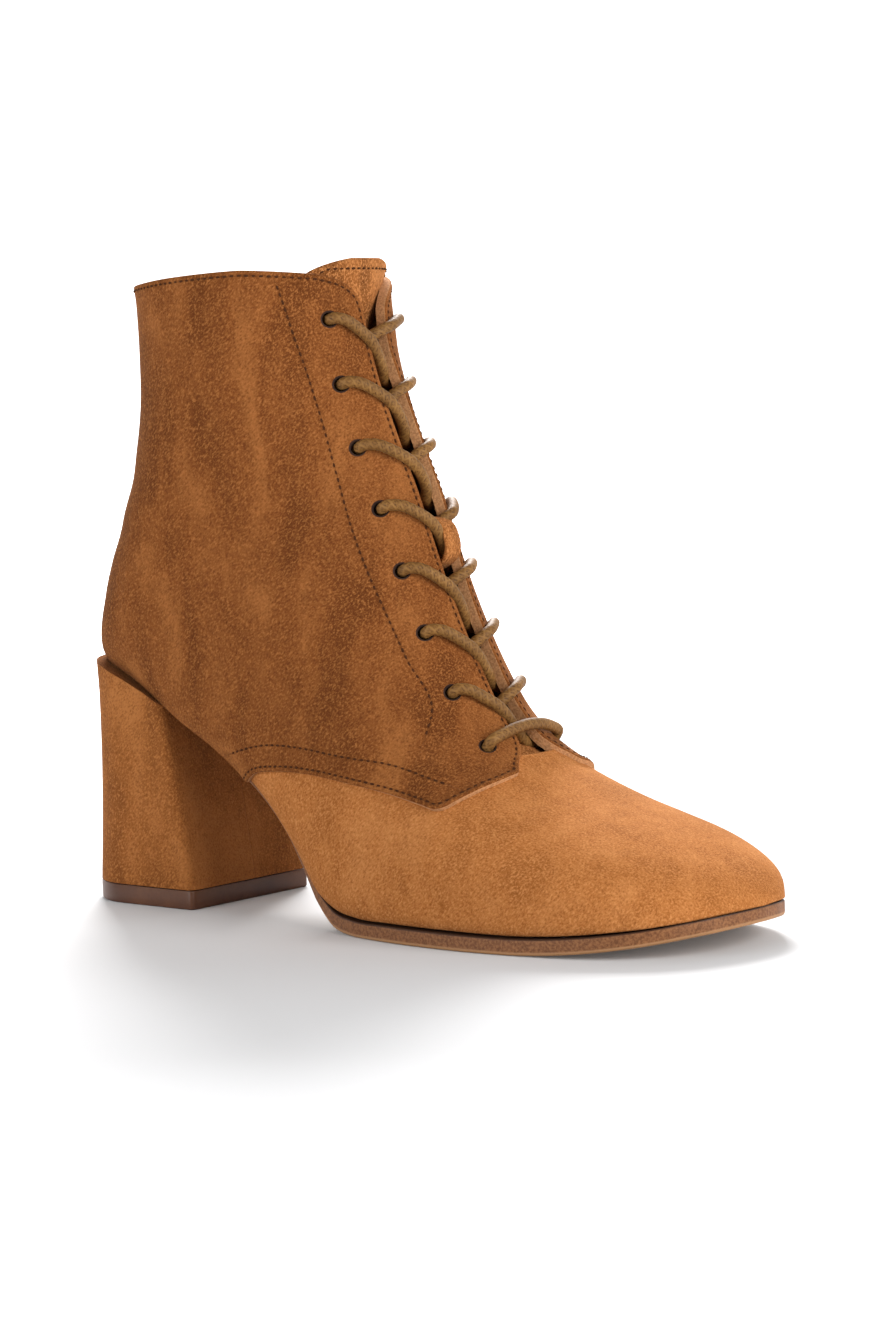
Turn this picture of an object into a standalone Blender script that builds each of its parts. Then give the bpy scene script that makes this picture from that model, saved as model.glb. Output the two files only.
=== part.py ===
"""Right lace-up ankle boot with a covered block heel, in metres, +Z up.

+X runs to the toe and -Y to the outer side of the foot. The origin is the centre of the
heel's resting face. The upper, tongue and insole all come from one foot form: a fan of
sections that swing from upright at the toe to level at the collar.
"""
from math import pi

import bmesh
import bpy
import numpy as np

LENGTH = 0.237  # heel back to toe tip of the foot form
BALL_WIDTH = 0.082  # widest part of the form
HEEL_HEIGHT = 0.0742  # floor to the seat's back
INSTEP_HEIGHT = 0.0450  # sole to the lowest eyelets
SHAFT_HEIGHT = 0.1130  # heel seat to the collar
SOLE_THICKNESS = 0.0046
GAP = 0.0003  # between pieces that meet
WALL = 0.0016  # lined upper
OVERLAY = 0.0013  # quarters lie this far above the vamp
INSOLE_THICKNESS = 0.0022
TOP_LIFT_HEIGHT = 0.0056
HEEL_REST_LENGTH = 0.0501
HEEL_REST_WIDTH = 0.0520
HEEL_REST_BACK = 0.0032  # from the form's heel plane to the rest's back edge
HEEL_CORNER = 0.0035  # radius of the block's upright front edges
TONGUE_THICKNESS = 0.0020
TONGUE_HALF_WIDTH = 0.0215
TONGUE_SINK = 0.0040  # room for the lace between the flaps and the tongue
LACE_RADIUS = 0.0017
EYELET_RADIUS = 0.0020
EYELET_INSET = 0.0108  # from a flap's front edge
EYELET_ROWS = 8
EYELET_START = 0.0030  # from the vamp's edge up to the lowest pair
EYELET_END = 0.0142  # from the collar down to the highest pair
KEEPER_CROSSING = 4  # the tongue strap's crossing, counted from the bar
KEEPER_WIDTH = 0.0046
KEEPER_THICKNESS = 0.0011
KEEPER_HEIGHT = 0.0052  # its underside above the flaps' face
THROAT_MIDDLE = 0.0016  # y of the middle of the gap between the flaps
THROAT_FLOOR = SOLE_THICKNESS + 1.01 * INSTEP_HEIGHT  # the vamp's edge under the tongue
COLLAR_TOP = HEEL_HEIGHT + SHAFT_HEIGHT
HEEL_REST_CENTRE = HEEL_REST_BACK + HEEL_REST_LENGTH / 2

# The line that the upper stands on. rise is its height above the tread's upper face, as a share
# of the way up to the seat's back, and along is a share of LENGTH.
SEAT_COLUMNS = ("along", "rise")
SEAT_SHARES = ((-0.080, 1.000), (0.030, 0.998), (0.076, 0.976), (0.118, 0.931), (0.156, 0.877))

# The sole, from the breast to the toe, carries that line on. thickness is a share of
# SOLE_THICKNESS, and the half widths and tuck are shares of BALL_WIDTH. tuck is how far the
# lower edge is drawn in, which thins the waist's edge.
SOLE_COLUMNS = ("along", "rise", "thickness", "lateral", "medial", "tuck")
SOLE_SHARES = (
    (0.192, 0.807, 0.48, 0.304, 0.296, 0.073),
    (0.228, 0.733, 0.48, 0.310, 0.302, 0.079),
    (0.270, 0.655, 0.48, 0.313, 0.305, 0.085),
    (0.312, 0.564, 0.48, 0.314, 0.306, 0.085),
    (0.354, 0.452, 0.50, 0.315, 0.300, 0.073),
    (0.388, 0.337, 0.57, 0.322, 0.300, 0.055),
    (0.422, 0.205, 0.67, 0.343, 0.314, 0.034),
    (0.456, 0.086, 0.83, 0.378, 0.345, 0.020),
    (0.489, 0.023, 0.98, 0.416, 0.380, 0.012),
    (0.532, 0.000, 1.00, 0.455, 0.420, 0.011),
    (0.591, 0.000, 1.00, 0.486, 0.457, 0.011),
    (0.654, 0.000, 1.00, 0.499, 0.484, 0.011),
    (0.717, 0.000, 1.00, 0.496, 0.498, 0.011),
    (0.781, 0.001, 1.00, 0.472, 0.497, 0.011),
    (0.840, 0.013, 0.98, 0.440, 0.478, 0.011),
    (0.890, 0.032, 0.96, 0.395, 0.450, 0.012),
    (0.932, 0.053, 0.93, 0.328, 0.397, 0.013),
    (0.964, 0.074, 0.91, 0.240, 0.316, 0.015),
    (0.985, 0.088, 0.89, 0.139, 0.227, 0.016),
    (0.994, 0.094, 0.87, 0.045, 0.136, 0.016),
    (0.997, 0.096, 0.87, -0.020, 0.072, 0.012),
)

# Sections of the foot form, toe to collar. back and front are a section's lower and upper
# ends: along is a share of LENGTH, and heights are above the sole's line at the lower end,
# back_up and front_shaft as shares of SHAFT_HEIGHT and front_instep of INSTEP_HEIGHT.
# lateral and medial are half widths and ridge is the middle's sideways place, as shares of
# BALL_WIDTH. level is where the section is widest, and low and high are how square it is
# below and above that.
SECTION_COLUMNS = (
    "back_along", "back_up", "front_along", "front_instep", "front_shaft",
    "lateral", "medial", "ridge", "level", "low", "high",
)
SECTION_SHARES = (
    (0.999, -0.014, 0.999, 0.028, 0.000, 0.000, 0.000, 0.098, 0.42, 3.00, 2.20),
    (0.996, -0.026, 0.990, 0.097, 0.000, 0.100, 0.100, 0.098, 0.42, 3.40, 2.20),
    (0.984, -0.028, 0.970, 0.208, 0.000, 0.213, 0.201, 0.098, 0.41, 4.20, 2.30),
    (0.964, -0.028, 0.944, 0.316, 0.000, 0.311, 0.281, 0.095, 0.40, 4.60, 2.30),
    (0.930, -0.027, 0.909, 0.440, 0.000, 0.390, 0.348, 0.088, 0.39, 4.80, 2.30),
    (0.884, -0.027, 0.871, 0.551, 0.000, 0.445, 0.402, 0.078, 0.38, 4.90, 2.30),
    (0.829, -0.027, 0.825, 0.655, 0.000, 0.485, 0.439, 0.067, 0.37, 5.00, 2.30),
    (0.766, -0.028, 0.780, 0.750, 0.000, 0.512, 0.463, 0.056, 0.36, 5.00, 2.25),
    (0.694, -0.031, 0.737, 0.850, 0.000, 0.524, 0.470, 0.046, 0.35, 5.00, 2.20),
    (0.606, -0.034, 0.700, 0.970, 0.000, 0.518, 0.451, 0.037, 0.35, 4.80, 2.15),
    (0.520, -0.038, 0.667, 1.000, 0.046, 0.488, 0.421, 0.027, 0.35, 4.40, 2.10),
    (0.448, -0.065, 0.642, 1.000, 0.048, 0.451, 0.390, 0.020, 0.36, 4.00, 2.05),
    (0.391, -0.074, 0.620, 1.000, -0.001, 0.415, 0.372, 0.012, 0.38, 3.60, 2.00),
    (0.328, -0.076, 0.597, 1.000, -0.026, 0.390, 0.366, 0.007, 0.40, 3.40, 2.00),
    (0.252, -0.078, 0.575, 1.000, -0.014, 0.378, 0.366, 0.004, 0.40, 3.20, 2.00),
    (0.173, -0.091, 0.556, 1.000, 0.012, 0.378, 0.366, 0.000, 0.38, 3.00, 2.00),
    (0.101, -0.056, 0.539, 1.000, 0.056, 0.378, 0.372, 0.000, 0.36, 2.70, 2.00),
    (0.040, -0.008, 0.519, 1.000, 0.128, 0.378, 0.372, 0.000, 0.36, 2.40, 2.00),
    (0.047, 0.128, 0.498, 1.000, 0.228, 0.384, 0.378, 0.000, 0.38, 2.30, 2.00),
    (0.075, 0.296, 0.478, 1.000, 0.331, 0.384, 0.378, 0.000, 0.40, 2.25, 2.05),
    (0.105, 0.482, 0.463, 1.000, 0.433, 0.378, 0.372, 0.000, 0.42, 2.25, 2.10),
    (0.124, 0.665, 0.454, 1.000, 0.520, 0.378, 0.372, 0.000, 0.44, 2.25, 2.15),
    (0.128, 0.845, 0.447, 1.000, 0.588, 0.384, 0.378, 0.000, 0.46, 2.25, 2.15),
    (0.126, 1.029, 0.443, 1.000, 0.651, 0.393, 0.387, 0.000, 0.47, 2.25, 2.15),
    (0.124, 1.120, 0.440, 1.000, 0.735, 0.396, 0.390, 0.000, 0.47, 2.25, 2.15),
)

# The gap between the flaps, seen from the front. height is a share of the way from the vamp's
# edge to the collar, and outer and inner are the flaps' edges beside THROAT_MIDDLE, as shares
# of BALL_WIDTH.
THROAT_COLUMNS = ("height", "outer", "inner")
THROAT_SHARES = (
    (-0.043, -0.183, 0.183), (-0.025, -0.152, 0.152), (-0.007, -0.104, 0.104),
    (0.014, -0.068, 0.068), (0.058, -0.054, 0.054), (0.217, -0.044, 0.044),
    (0.507, -0.040, 0.040), (0.725, -0.046, 0.046), (0.889, -0.051, 0.056),
    (0.925, -0.058, 0.080), (0.950, -0.075, 0.130), (0.971, -0.118, 0.200),
    (0.990, -0.205, 0.300), (1.014, -0.530, 0.530),
)

# Lower edge of the quarters from the side, waist to the flaps' front corner, as shares of
# LENGTH and of INSTEP_HEIGHT above the tread's upper face.
QUARTER_EDGE_SHARES = (
    (0.329, 0.776), (0.354, 0.853), (0.401, 0.889), (0.456, 0.887), (0.527, 0.842),
    (0.591, 0.784), (0.633, 0.736), (0.650, 0.716), (0.660, 0.724), (0.675, 0.773),
    (0.692, 0.836), (0.704, 0.884), (0.710, 0.938), (0.708, 1.009),
)
# Collar line from the side, back to front, as shares of LENGTH and of SHAFT_HEIGHT above the seat.
COLLAR_EDGE_SHARES = ((0.084, 0.974), (0.169, 0.979), (0.253, 0.993), (0.338, 1.003), (0.485, 1.007))

MATERIALS = {  # colour, roughness
    "suede_vamp": ((0.515, 0.205, 0.070, 1.0), 0.95),
    "suede_quarter": ((0.400, 0.145, 0.045, 1.0), 0.95),
    "insole_leather": ((0.330, 0.170, 0.080, 1.0), 0.60),
    "sole_rubber": ((0.130, 0.055, 0.028, 1.0), 0.55),
    "lift_rubber": ((0.065, 0.025, 0.014, 1.0), 0.40),
    "lace_cord": ((0.230, 0.105, 0.030, 1.0), 0.70),
}


def column(rows, columns, name):
    """One named column of a table as an array."""
    return np.array(rows, float)[:, columns.index(name)]


def smooth_rows(table, at):
    """Rows of a table at fractional row numbers, along a Catmull-Rom curve."""
    last = len(table) - 2
    first = np.clip(np.floor(at).astype(int), 0, last)
    share = (at - first)[:, None]
    before = table[np.maximum(first - 1, 0)]
    start = table[first]
    end = table[first + 1]
    after = table[np.minimum(first + 2, last + 1)]
    bend = (2 * before - 5 * start + 4 * end - after) * share**2
    twist = (3 * start - before - 3 * end + after) * share**3
    return 0.5 * (2 * start + (end - before) * share + bend + twist)


def smooth_line(x, knots_x, knots_y):
    """Monotone-in-x smooth curve through a table's points."""
    slopes = np.gradient(knots_y, knots_x)
    i = np.clip(np.searchsorted(knots_x, x) - 1, 0, len(knots_x) - 2)
    width = knots_x[i + 1] - knots_x[i]
    t = np.clip((x - knots_x[i]) / width, 0, 1)
    rise = (1 + 2 * t) * (1 - t) ** 2 * knots_y[i] + t**2 * (3 - 2 * t) * knots_y[i + 1]
    lean = t * (1 - t) ** 2 * slopes[i] - t**2 * (1 - t) * slopes[i + 1]
    return rise + lean * width


def sole_line():
    """Knots of the line the upper stands on, from behind the heel to beyond the toe."""
    along = np.concatenate([column(SEAT_SHARES, SEAT_COLUMNS, "along"), column(SOLE_SHARES, SOLE_COLUMNS, "along")])
    rise = np.concatenate([column(SEAT_SHARES, SEAT_COLUMNS, "rise"), column(SOLE_SHARES, SOLE_COLUMNS, "rise")])
    return along * LENGTH - HEEL_REST_CENTRE, SOLE_THICKNESS + rise * (HEEL_HEIGHT - SOLE_THICKNESS)


SOLE_LINE_X, SOLE_LINE_Z = sole_line()


def seat_height(x):
    """Height of the line the upper stands on."""
    return smooth_line(np.asarray(x, float), SOLE_LINE_X, SOLE_LINE_Z)


def section_table():
    """The form's sections in metres, with squared half widths so that the toe stays round."""
    shares = {name: column(SECTION_SHARES, SECTION_COLUMNS, name) for name in SECTION_COLUMNS}
    back_x = shares["back_along"] * LENGTH - HEEL_REST_CENTRE
    base = seat_height(back_x)
    front_up = shares["front_instep"] * INSTEP_HEIGHT + shares["front_shaft"] * SHAFT_HEIGHT
    return np.stack([
        back_x,
        base + shares["back_up"] * SHAFT_HEIGHT,
        shares["front_along"] * LENGTH - HEEL_REST_CENTRE,
        base + front_up,
        (shares["lateral"] * BALL_WIDTH) ** 2,
        (shares["medial"] * BALL_WIDTH) ** 2,
        shares["ridge"] * BALL_WIDTH,
        shares["level"],
        shares["low"],
        shares["high"],
    ], axis=1)


FORM = section_table()
LAST_ROW = len(SECTION_SHARES) - 1


def form_surface(row, angle):
    """Points of the foot form. angle is 0 at a section's lower end, pi at its upper end,
    and negative on the outer side."""
    angle = (angle + pi) % (2 * pi) - pi
    rows = smooth_rows(FORM, row)
    back_x, back_z, front_x, front_z, lateral, medial, ridge, level, low, high = rows.T
    half = np.sqrt(np.maximum(np.where(angle < 0, lateral, medial), 0.0))
    below = np.abs(angle) < pi / 2
    square = 2 / np.where(below, low, high)
    out = np.abs(np.sin(angle)) ** square
    up = np.abs(np.cos(angle)) ** square
    share = np.where(below, level * (1 - up), level + (1 - level) * up)
    x = back_x + (front_x - back_x) * share
    y = np.where(angle < 0, -half, half) * out + ridge * (1 + share) / 2
    z = back_z + (front_z - back_z) * share
    return np.stack([x, y, z], -1)


def form_points(row, angle, offset=0.0):
    """Points of the form, moved out along its own normal."""
    row, angle = np.broadcast_arrays(np.asarray(row, float), np.asarray(angle, float))
    shape = row.shape
    row, angle = row.ravel(), angle.ravel()
    row_step, angle_step = 0.02, 0.01
    low_row, high_row = np.maximum(row - row_step, 0.02), np.minimum(row + row_step, LAST_ROW)
    along = form_surface(high_row, angle) - form_surface(low_row, angle)
    around = form_surface(row, angle + angle_step) - form_surface(row, angle - angle_step)
    normal = np.cross(along, around)
    normal /= np.maximum(np.linalg.norm(normal, axis=-1, keepdims=True), 1e-12)
    points = form_surface(row, angle) + normal * np.asarray(offset, float).reshape(-1, 1)
    return points.reshape(shape + (3,))


def link(obj, collection):
    collection.objects.link(obj)
    return obj


def mesh_object(name, bm, collection, material=None, smooth_angle=0.6):
    """Turns a bmesh into an object, faces out, shaded smooth."""
    bmesh.ops.recalc_face_normals(bm, faces=bm.faces)
    mesh = bpy.data.meshes.new(name)
    bm.to_mesh(mesh)
    bm.free()
    mesh.shade_smooth()
    mesh.set_sharp_from_angle(angle=smooth_angle)
    if material:
        mesh.materials.append(material)
    return link(bpy.data.objects.new(name, mesh), collection)


def ring_body(name, rings, collection, material=None, tip=None, smooth_angle=0.6):
    """Closed body lofted through rings of points, with an optional point before the first ring."""
    bm = bmesh.new()
    loops = [[bm.verts.new(p) for p in ring] for ring in rings]
    for ring, following in zip(loops, loops[1:]):
        for i in range(len(ring)):
            j = (i + 1) % len(ring)
            bm.faces.new((ring[i], ring[j], following[j], following[i]))
    if tip is None:
        bm.faces.new(loops[0][::-1])
    else:
        point = bm.verts.new(tip)
        for i in range(len(loops[0])):
            bm.faces.new((point, loops[0][(i + 1) % len(loops[0])], loops[0][i]))
    bm.faces.new(loops[-1])
    return mesh_object(name, bm, collection, material, smooth_angle)


def sheet_body(name, outer, inner, collection, material):
    """Closed body between two grids of points with the same rows and columns."""
    bm = bmesh.new()
    top = [[bm.verts.new(p) for p in row] for row in outer]
    bottom = [[bm.verts.new(p) for p in row] for row in inner]
    rows, columns = len(top), len(top[0])
    for i in range(rows - 1):
        for j in range(columns - 1):
            bm.faces.new((top[i][j], top[i + 1][j], top[i + 1][j + 1], top[i][j + 1]))
            bm.faces.new((bottom[i][j], bottom[i][j + 1], bottom[i + 1][j + 1], bottom[i + 1][j]))
    rim = [(0, j) for j in range(columns)] + [(i, columns - 1) for i in range(1, rows)]
    rim += [(rows - 1, j) for j in range(columns - 2, -1, -1)] + [(i, 0) for i in range(rows - 2, 0, -1)]
    for (i, j), (k, m) in zip(rim, rim[1:] + rim[:1]):
        bm.faces.new((top[i][j], top[k][m], bottom[k][m], bottom[i][j]))
    return mesh_object(name, bm, collection, material)


def prism(name, outline, axis, low, high, collection):
    """Flat outline pushed along axis ("X" or "Y") from low to high."""
    place = {"X": lambda p, depth: (depth, p[0], p[1]), "Y": lambda p, depth: (p[0], depth, p[1])}[axis]
    rings = [[place(p, depth) for p in outline] for depth in (low, high)]
    body = ring_body(name, rings, collection)
    body.display_type = "WIRE"
    body.hide_render = True
    return body


def combine(target, other, operation):
    """Boolean modifier on target."""
    modifier = target.modifiers.new(other.name, "BOOLEAN")
    modifier.operation = operation
    modifier.solver = "EXACT"
    modifier.object = other
    return target


def guide(obj):
    """Marks an object as a cutter or a guide."""
    obj.display_type = "WIRE"
    obj.hide_render = True
    return obj


def form_body(name, offset, rows, columns, collection, material=None, rise=0.0):
    """The whole foot form as a closed body at an offset, its top carried up by rise."""
    levels = np.concatenate([[0.3, 0.65], np.linspace(1.0, LAST_ROW, rows)])
    angles = np.linspace(-pi, pi, columns, endpoint=False)
    grid_rows, grid_angles = np.meshgrid(levels, angles, indexing="ij")
    rings = list(form_points(grid_rows, grid_angles, np.full(grid_rows.size, offset)))
    if rise:
        rings.append(rings[-1] + np.array((0.0, 0.0, rise)))
    tip = form_surface(np.zeros(1), np.full(1, pi / 2))[0] + np.array((offset, 0, 0))
    return ring_body(name, rings, collection, material, tip=tip)


def above_sole(name, lift, collection):
    """Cutter that fills everything below the sole line, raised by lift."""
    xs = np.linspace(-0.24, 1.06, 84) * LENGTH
    outline = [(x, seat_height(x) + lift) for x in xs]
    outline += [(xs[-1], -HEEL_HEIGHT), (xs[0], -HEEL_HEIGHT)]
    return prism(name, outline, "Y", -BALL_WIDTH, BALL_WIDTH, collection)


def throat_knots():
    """The throat table in metres: heights, outer flap's y and inner flap's y."""
    height, outer, inner = (column(THROAT_SHARES, THROAT_COLUMNS, name) for name in THROAT_COLUMNS)
    z = THROAT_FLOOR + height * (COLLAR_TOP - THROAT_FLOOR)
    return z, THROAT_MIDDLE + outer * BALL_WIDTH, THROAT_MIDDLE + inner * BALL_WIDTH


def throat_outline(floor, ease):
    """The gap between the flaps from the front, as (y, z) points."""
    height, outer, inner = throat_knots()
    knots = np.linspace(height[0], height[-1], 46)
    zs = np.concatenate([[floor], knots[knots > floor + 0.0002]])
    outer_y = np.interp(zs, knots, smooth_line(knots, height, outer)) - ease
    inner_y = np.interp(zs, knots, smooth_line(knots, height, inner)) + ease
    return list(zip(outer_y, zs)) + list(zip(inner_y, zs))[::-1]


def quarter_outline():
    """The quarters from the side, as (x, z) points."""
    edge = [(x * LENGTH - HEEL_REST_CENTRE, SOLE_THICKNESS + z * INSTEP_HEIGHT) for x, z in QUARTER_EDGE_SHARES]
    start, end = edge[0][0] - 0.004, edge[-1][0] + 0.005
    far, high, low = -LENGTH / 2, 1.3 * COLLAR_TOP, -SOLE_THICKNESS
    return [(start, low)] + edge + [(end, 1.6 * THROAT_FLOOR), (end, high), (far, high), (far, low)]


def collar_outline():
    """What lies above the collar from the side, as (x, z) points."""
    edge = [(x * LENGTH - HEEL_REST_CENTRE, HEEL_HEIGHT + z * SHAFT_HEIGHT) for x, z in COLLAR_EDGE_SHARES]
    far, high = -LENGTH / 2, 1.4 * COLLAR_TOP
    return [(far, edge[0][1])] + edge + [(LENGTH, edge[-1][1]), (LENGTH, high), (far, high)]


def flap_edges(z):
    """The y of both flap edges at a height."""
    height, outer, inner = throat_knots()
    return np.interp(z, height, outer), np.interp(z, height, inner)


def angle_at(row, y):
    """Angle on the form's front where the surface lies at y."""
    sweep = np.linspace(0.55 * pi, pi, 160)
    middle = form_surface(np.array([row]), np.array([pi]))[0][1]
    side = -1.0 if y < middle else 1.0
    reach = form_surface(np.full(sweep.size, row), side * sweep)[:, 1]
    order = np.argsort(reach)
    return np.interp(y, reach[order], (side * sweep)[order])


def front_point(row, y, lift):
    """Point on the form's front at a row and y, lifted off the quarters' face."""
    return form_points(np.array([row]), np.array([angle_at(row, y)]), np.array([OVERLAY + lift]))[0]


def eyelet_row_numbers():
    """Fractional section numbers of the eyelet rows, evenly spaced along the outer flap."""
    rows = np.linspace(8.5, 22.5, 281)
    y = flap_edges((THROAT_FLOOR + COLLAR_TOP) / 2)[0] - EYELET_INSET
    line = np.array([front_point(row, y, 0.0) for row in rows])
    run = np.concatenate([[0.0], np.cumsum(np.linalg.norm(np.diff(line, axis=0), axis=1))])
    first = np.interp(THROAT_FLOOR + EYELET_START, line[:, 2], run)
    last = np.interp(COLLAR_TOP - EYELET_END, line[:, 2], run)
    return np.interp(np.linspace(first, last, EYELET_ROWS), run, rows)


EYELETS = eyelet_row_numbers()


def eyelet_y(row, side):
    """The y of an eyelet's centre, side -1 for the outer flap and 1 for the inner one."""
    z = form_surface(np.array([row]), np.array([pi]))[0][2]
    outer, inner = flap_edges(np.clip(z, THROAT_FLOOR + 2 * EYELET_START, COLLAR_TOP - EYELET_END))
    return outer - EYELET_INSET if side < 0 else inner + EYELET_INSET


def eyelet_cutters(collection):
    """Pins through both flaps, joined in one mesh."""
    bm = bmesh.new()
    for row in EYELETS:
        for side in (-1, 1):
            y = eyelet_y(row, side)
            outside = front_point(row, y, 0.004)
            inside = front_point(row, y, -0.007)
            axis = (outside - inside) / np.linalg.norm(outside - inside)
            across = np.cross(axis, (1.0, 0.0, 0.0))
            across /= np.linalg.norm(across)
            other = np.cross(axis, across)
            turns = np.linspace(0, 2 * pi, 10, endpoint=False)
            rings = [
                [bm.verts.new(end + EYELET_RADIUS * (np.cos(t) * across + np.sin(t) * other)) for t in turns]
                for end in (inside, outside)
            ]
            for i in range(len(turns)):
                j = (i + 1) % len(turns)
                bm.faces.new((rings[0][i], rings[0][j], rings[1][j], rings[1][i]))
            bm.faces.new(rings[0][::-1])
            bm.faces.new(rings[1])
    return guide(mesh_object("eyelet_pins", bm, collection))


def build_upper(parts, cutters, material):
    """Vamp and quarters as one lined shell, open at the collar, the throat and underneath."""
    quarters = guide(form_body("quarters", OVERLAY, 42, 36, cutters))
    combine(quarters, prism("quarter_outline", quarter_outline(), "Y", -BALL_WIDTH, BALL_WIDTH, cutters), "INTERSECT")
    gap = throat_outline(throat_knots()[0][0], 0.0)
    combine(quarters, prism("flap_gap", gap, "X", 0.25 * LENGTH, 0.76 * LENGTH, cutters), "DIFFERENCE")
    upper = form_body("upper", 0.0, 42, 36, parts, material)
    combine(upper, quarters, "UNION")
    combine(upper, guide(form_body("hollow", -WALL, 30, 28, cutters, rise=5 * WALL)), "DIFFERENCE")
    combine(upper, prism("above_collar", collar_outline(), "Y", -BALL_WIDTH, BALL_WIDTH, cutters), "DIFFERENCE")
    throat = throat_outline(THROAT_FLOOR, 0.0001)
    combine(upper, prism("throat", throat, "X", 0.18 * LENGTH, 0.77 * LENGTH, cutters), "DIFFERENCE")
    combine(upper, above_sole("below_upper", GAP, cutters), "DIFFERENCE")
    combine(upper, eyelet_cutters(cutters), "DIFFERENCE")
    return upper


def build_insole(parts, cutters, material):
    """Sock that lies inside the upper on the sole."""
    insole = form_body("insole", -WALL - 0.0005, 30, 28, parts, material)
    xs = np.linspace(-0.2, 1.0, 74) * LENGTH
    rise = 2.2 * GAP  # the layer is steep along the waist, where the upright gap looks wider
    lower = [(x, seat_height(x) + rise) for x in xs]
    upper = [(x, seat_height(x) + rise + INSOLE_THICKNESS) for x in xs]
    return combine(insole, prism("insole_layer", lower + upper[::-1], "Y", -BALL_WIDTH, BALL_WIDTH, cutters), "INTERSECT")


def build_outsole(parts, material):
    """Sole from the breast to the toe, its lower edge bevelled and drawn in along the waist."""
    knots = np.array(SOLE_SHARES, float)
    along = np.unique(np.concatenate([np.linspace(knots[0, 0], 0.96, 32), knots[-5:, 0], [0.979, 0.995]]))
    edge = 0.15 * SOLE_THICKNESS
    rings = []
    for share in along:
        x = share * LENGTH - HEEL_REST_CENTRE
        thick, lateral, medial, tuck = (
            float(smooth_line(np.array([share]), knots[:, 0], knots[:, i])[0]) for i in range(2, 6)
        )
        top = float(seat_height(x))
        slope = float(seat_height(x + GAP) - seat_height(x - GAP)) / (2 * GAP)
        bottom = max(top - thick * SOLE_THICKNESS * (1 + slope**2) ** 0.5, 0.0)
        thin = min(1.0, max(0.0, (tuck - 0.012) / 0.037))
        corner = (bottom + edge) * (1 - thin) + (top - edge) * thin
        outer, inner, draw = -lateral * BALL_WIDTH, medial * BALL_WIDTH, tuck * BALL_WIDTH
        rings.append([
            (x, outer, top), (x, outer, corner), (x, outer + draw, bottom),
            (x, inner - draw, bottom), (x, inner, corner), (x, inner, top),
        ])
    return ring_body("outsole", rings, parts, material)


def heel_plan(back, front, half_width, corner, steps=14):
    """D-shaped plan of the heel: round back, straight sides and a flat breast."""
    round_length = min(0.8 * half_width, 0.6 * (front - back))
    turns = np.linspace(-pi / 2, pi / 2, steps)
    arc = [
        (back + round_length * (1 - np.cos(t)), half_width * np.sign(np.sin(t)) * abs(np.sin(t)) ** 0.85)
        for t in turns
    ]
    bend = np.linspace(0, pi / 2, 4)
    inner = [(front - corner * (1 - np.sin(b)), half_width - corner * (1 - np.cos(b))) for b in bend]
    plan = arc + inner + [(x, -y) for x, y in inner[::-1]]
    return [(x - HEEL_REST_CENTRE, y) for x, y in plan]


def build_heel(parts, cutters, leather, rubber):
    """Covered block, as wide as the seat at its top, and the top lift under it."""
    rest_front = HEEL_REST_BACK + HEEL_REST_LENGTH
    seat_front = SOLE_SHARES[0][0] * LENGTH - 0.0035
    bottom = np.array((HEEL_REST_BACK, rest_front, HEEL_REST_WIDTH / 2))
    top = np.array((0.027 * LENGTH, seat_front, 0.356 * BALL_WIDTH))
    rings = []
    for share in np.linspace(0, 1, 9):
        back, front, half_width = bottom + (top - bottom) * share
        back += 0.0012 * np.sin(pi * share)
        z = TOP_LIFT_HEIGHT + GAP + (1.08 * HEEL_HEIGHT - TOP_LIFT_HEIGHT) * share
        rings.append([(x, y, z) for x, y in heel_plan(back, front, half_width, HEEL_CORNER)])
    block = ring_body("heel_block", rings, parts, leather)
    xs = np.linspace(-0.25, 0.25, 49) * LENGTH
    high = 1.6 * HEEL_HEIGHT
    outline = [(x, seat_height(x)) for x in xs] + [(xs[-1], high), (xs[0], high)]
    combine(block, prism("above_seat", outline, "Y", -BALL_WIDTH, BALL_WIDTH, cutters), "DIFFERENCE")
    plan = heel_plan(*bottom, 0.6 * HEEL_CORNER)
    lift = [[(x, y, z) for x, y in plan] for z in (0.0, TOP_LIFT_HEIGHT)]
    return block, ring_body("top_lift", lift, parts, rubber)


def build_tongue(parts, material):
    """Tongue under the flaps, from under the vamp's edge to above the collar."""
    rows = np.concatenate([np.linspace(8.35, 22.6, 30), [22.9, 23.15, 23.35, 23.45]])
    across = np.linspace(-1, 1, 11)
    outer, inner = [], []
    for row in rows:
        drop = WALL + GAP + 0.0001 + TONGUE_SINK * min(1.0, max(0.0, (row - 8.9) / 2.2))
        low_taper = 0.86 + 0.14 * min(1.0, (row - rows[0]) / 4.0)
        top_taper = (1 - 0.62 * max(0.0, (row - 22.6) / 0.85) ** 2) ** 0.5
        half = TONGUE_HALF_WIDTH * low_taper * top_taper
        angles = np.array([angle_at(row, THROAT_MIDDLE + half * a) for a in across])
        outer.append(form_points(np.full(11, row), angles, np.full(11, -drop)))
        inner.append(form_points(np.full(11, row), angles, np.full(11, -drop - TONGUE_THICKNESS)))
    return sheet_body("tongue", outer, inner, parts, material)


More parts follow.
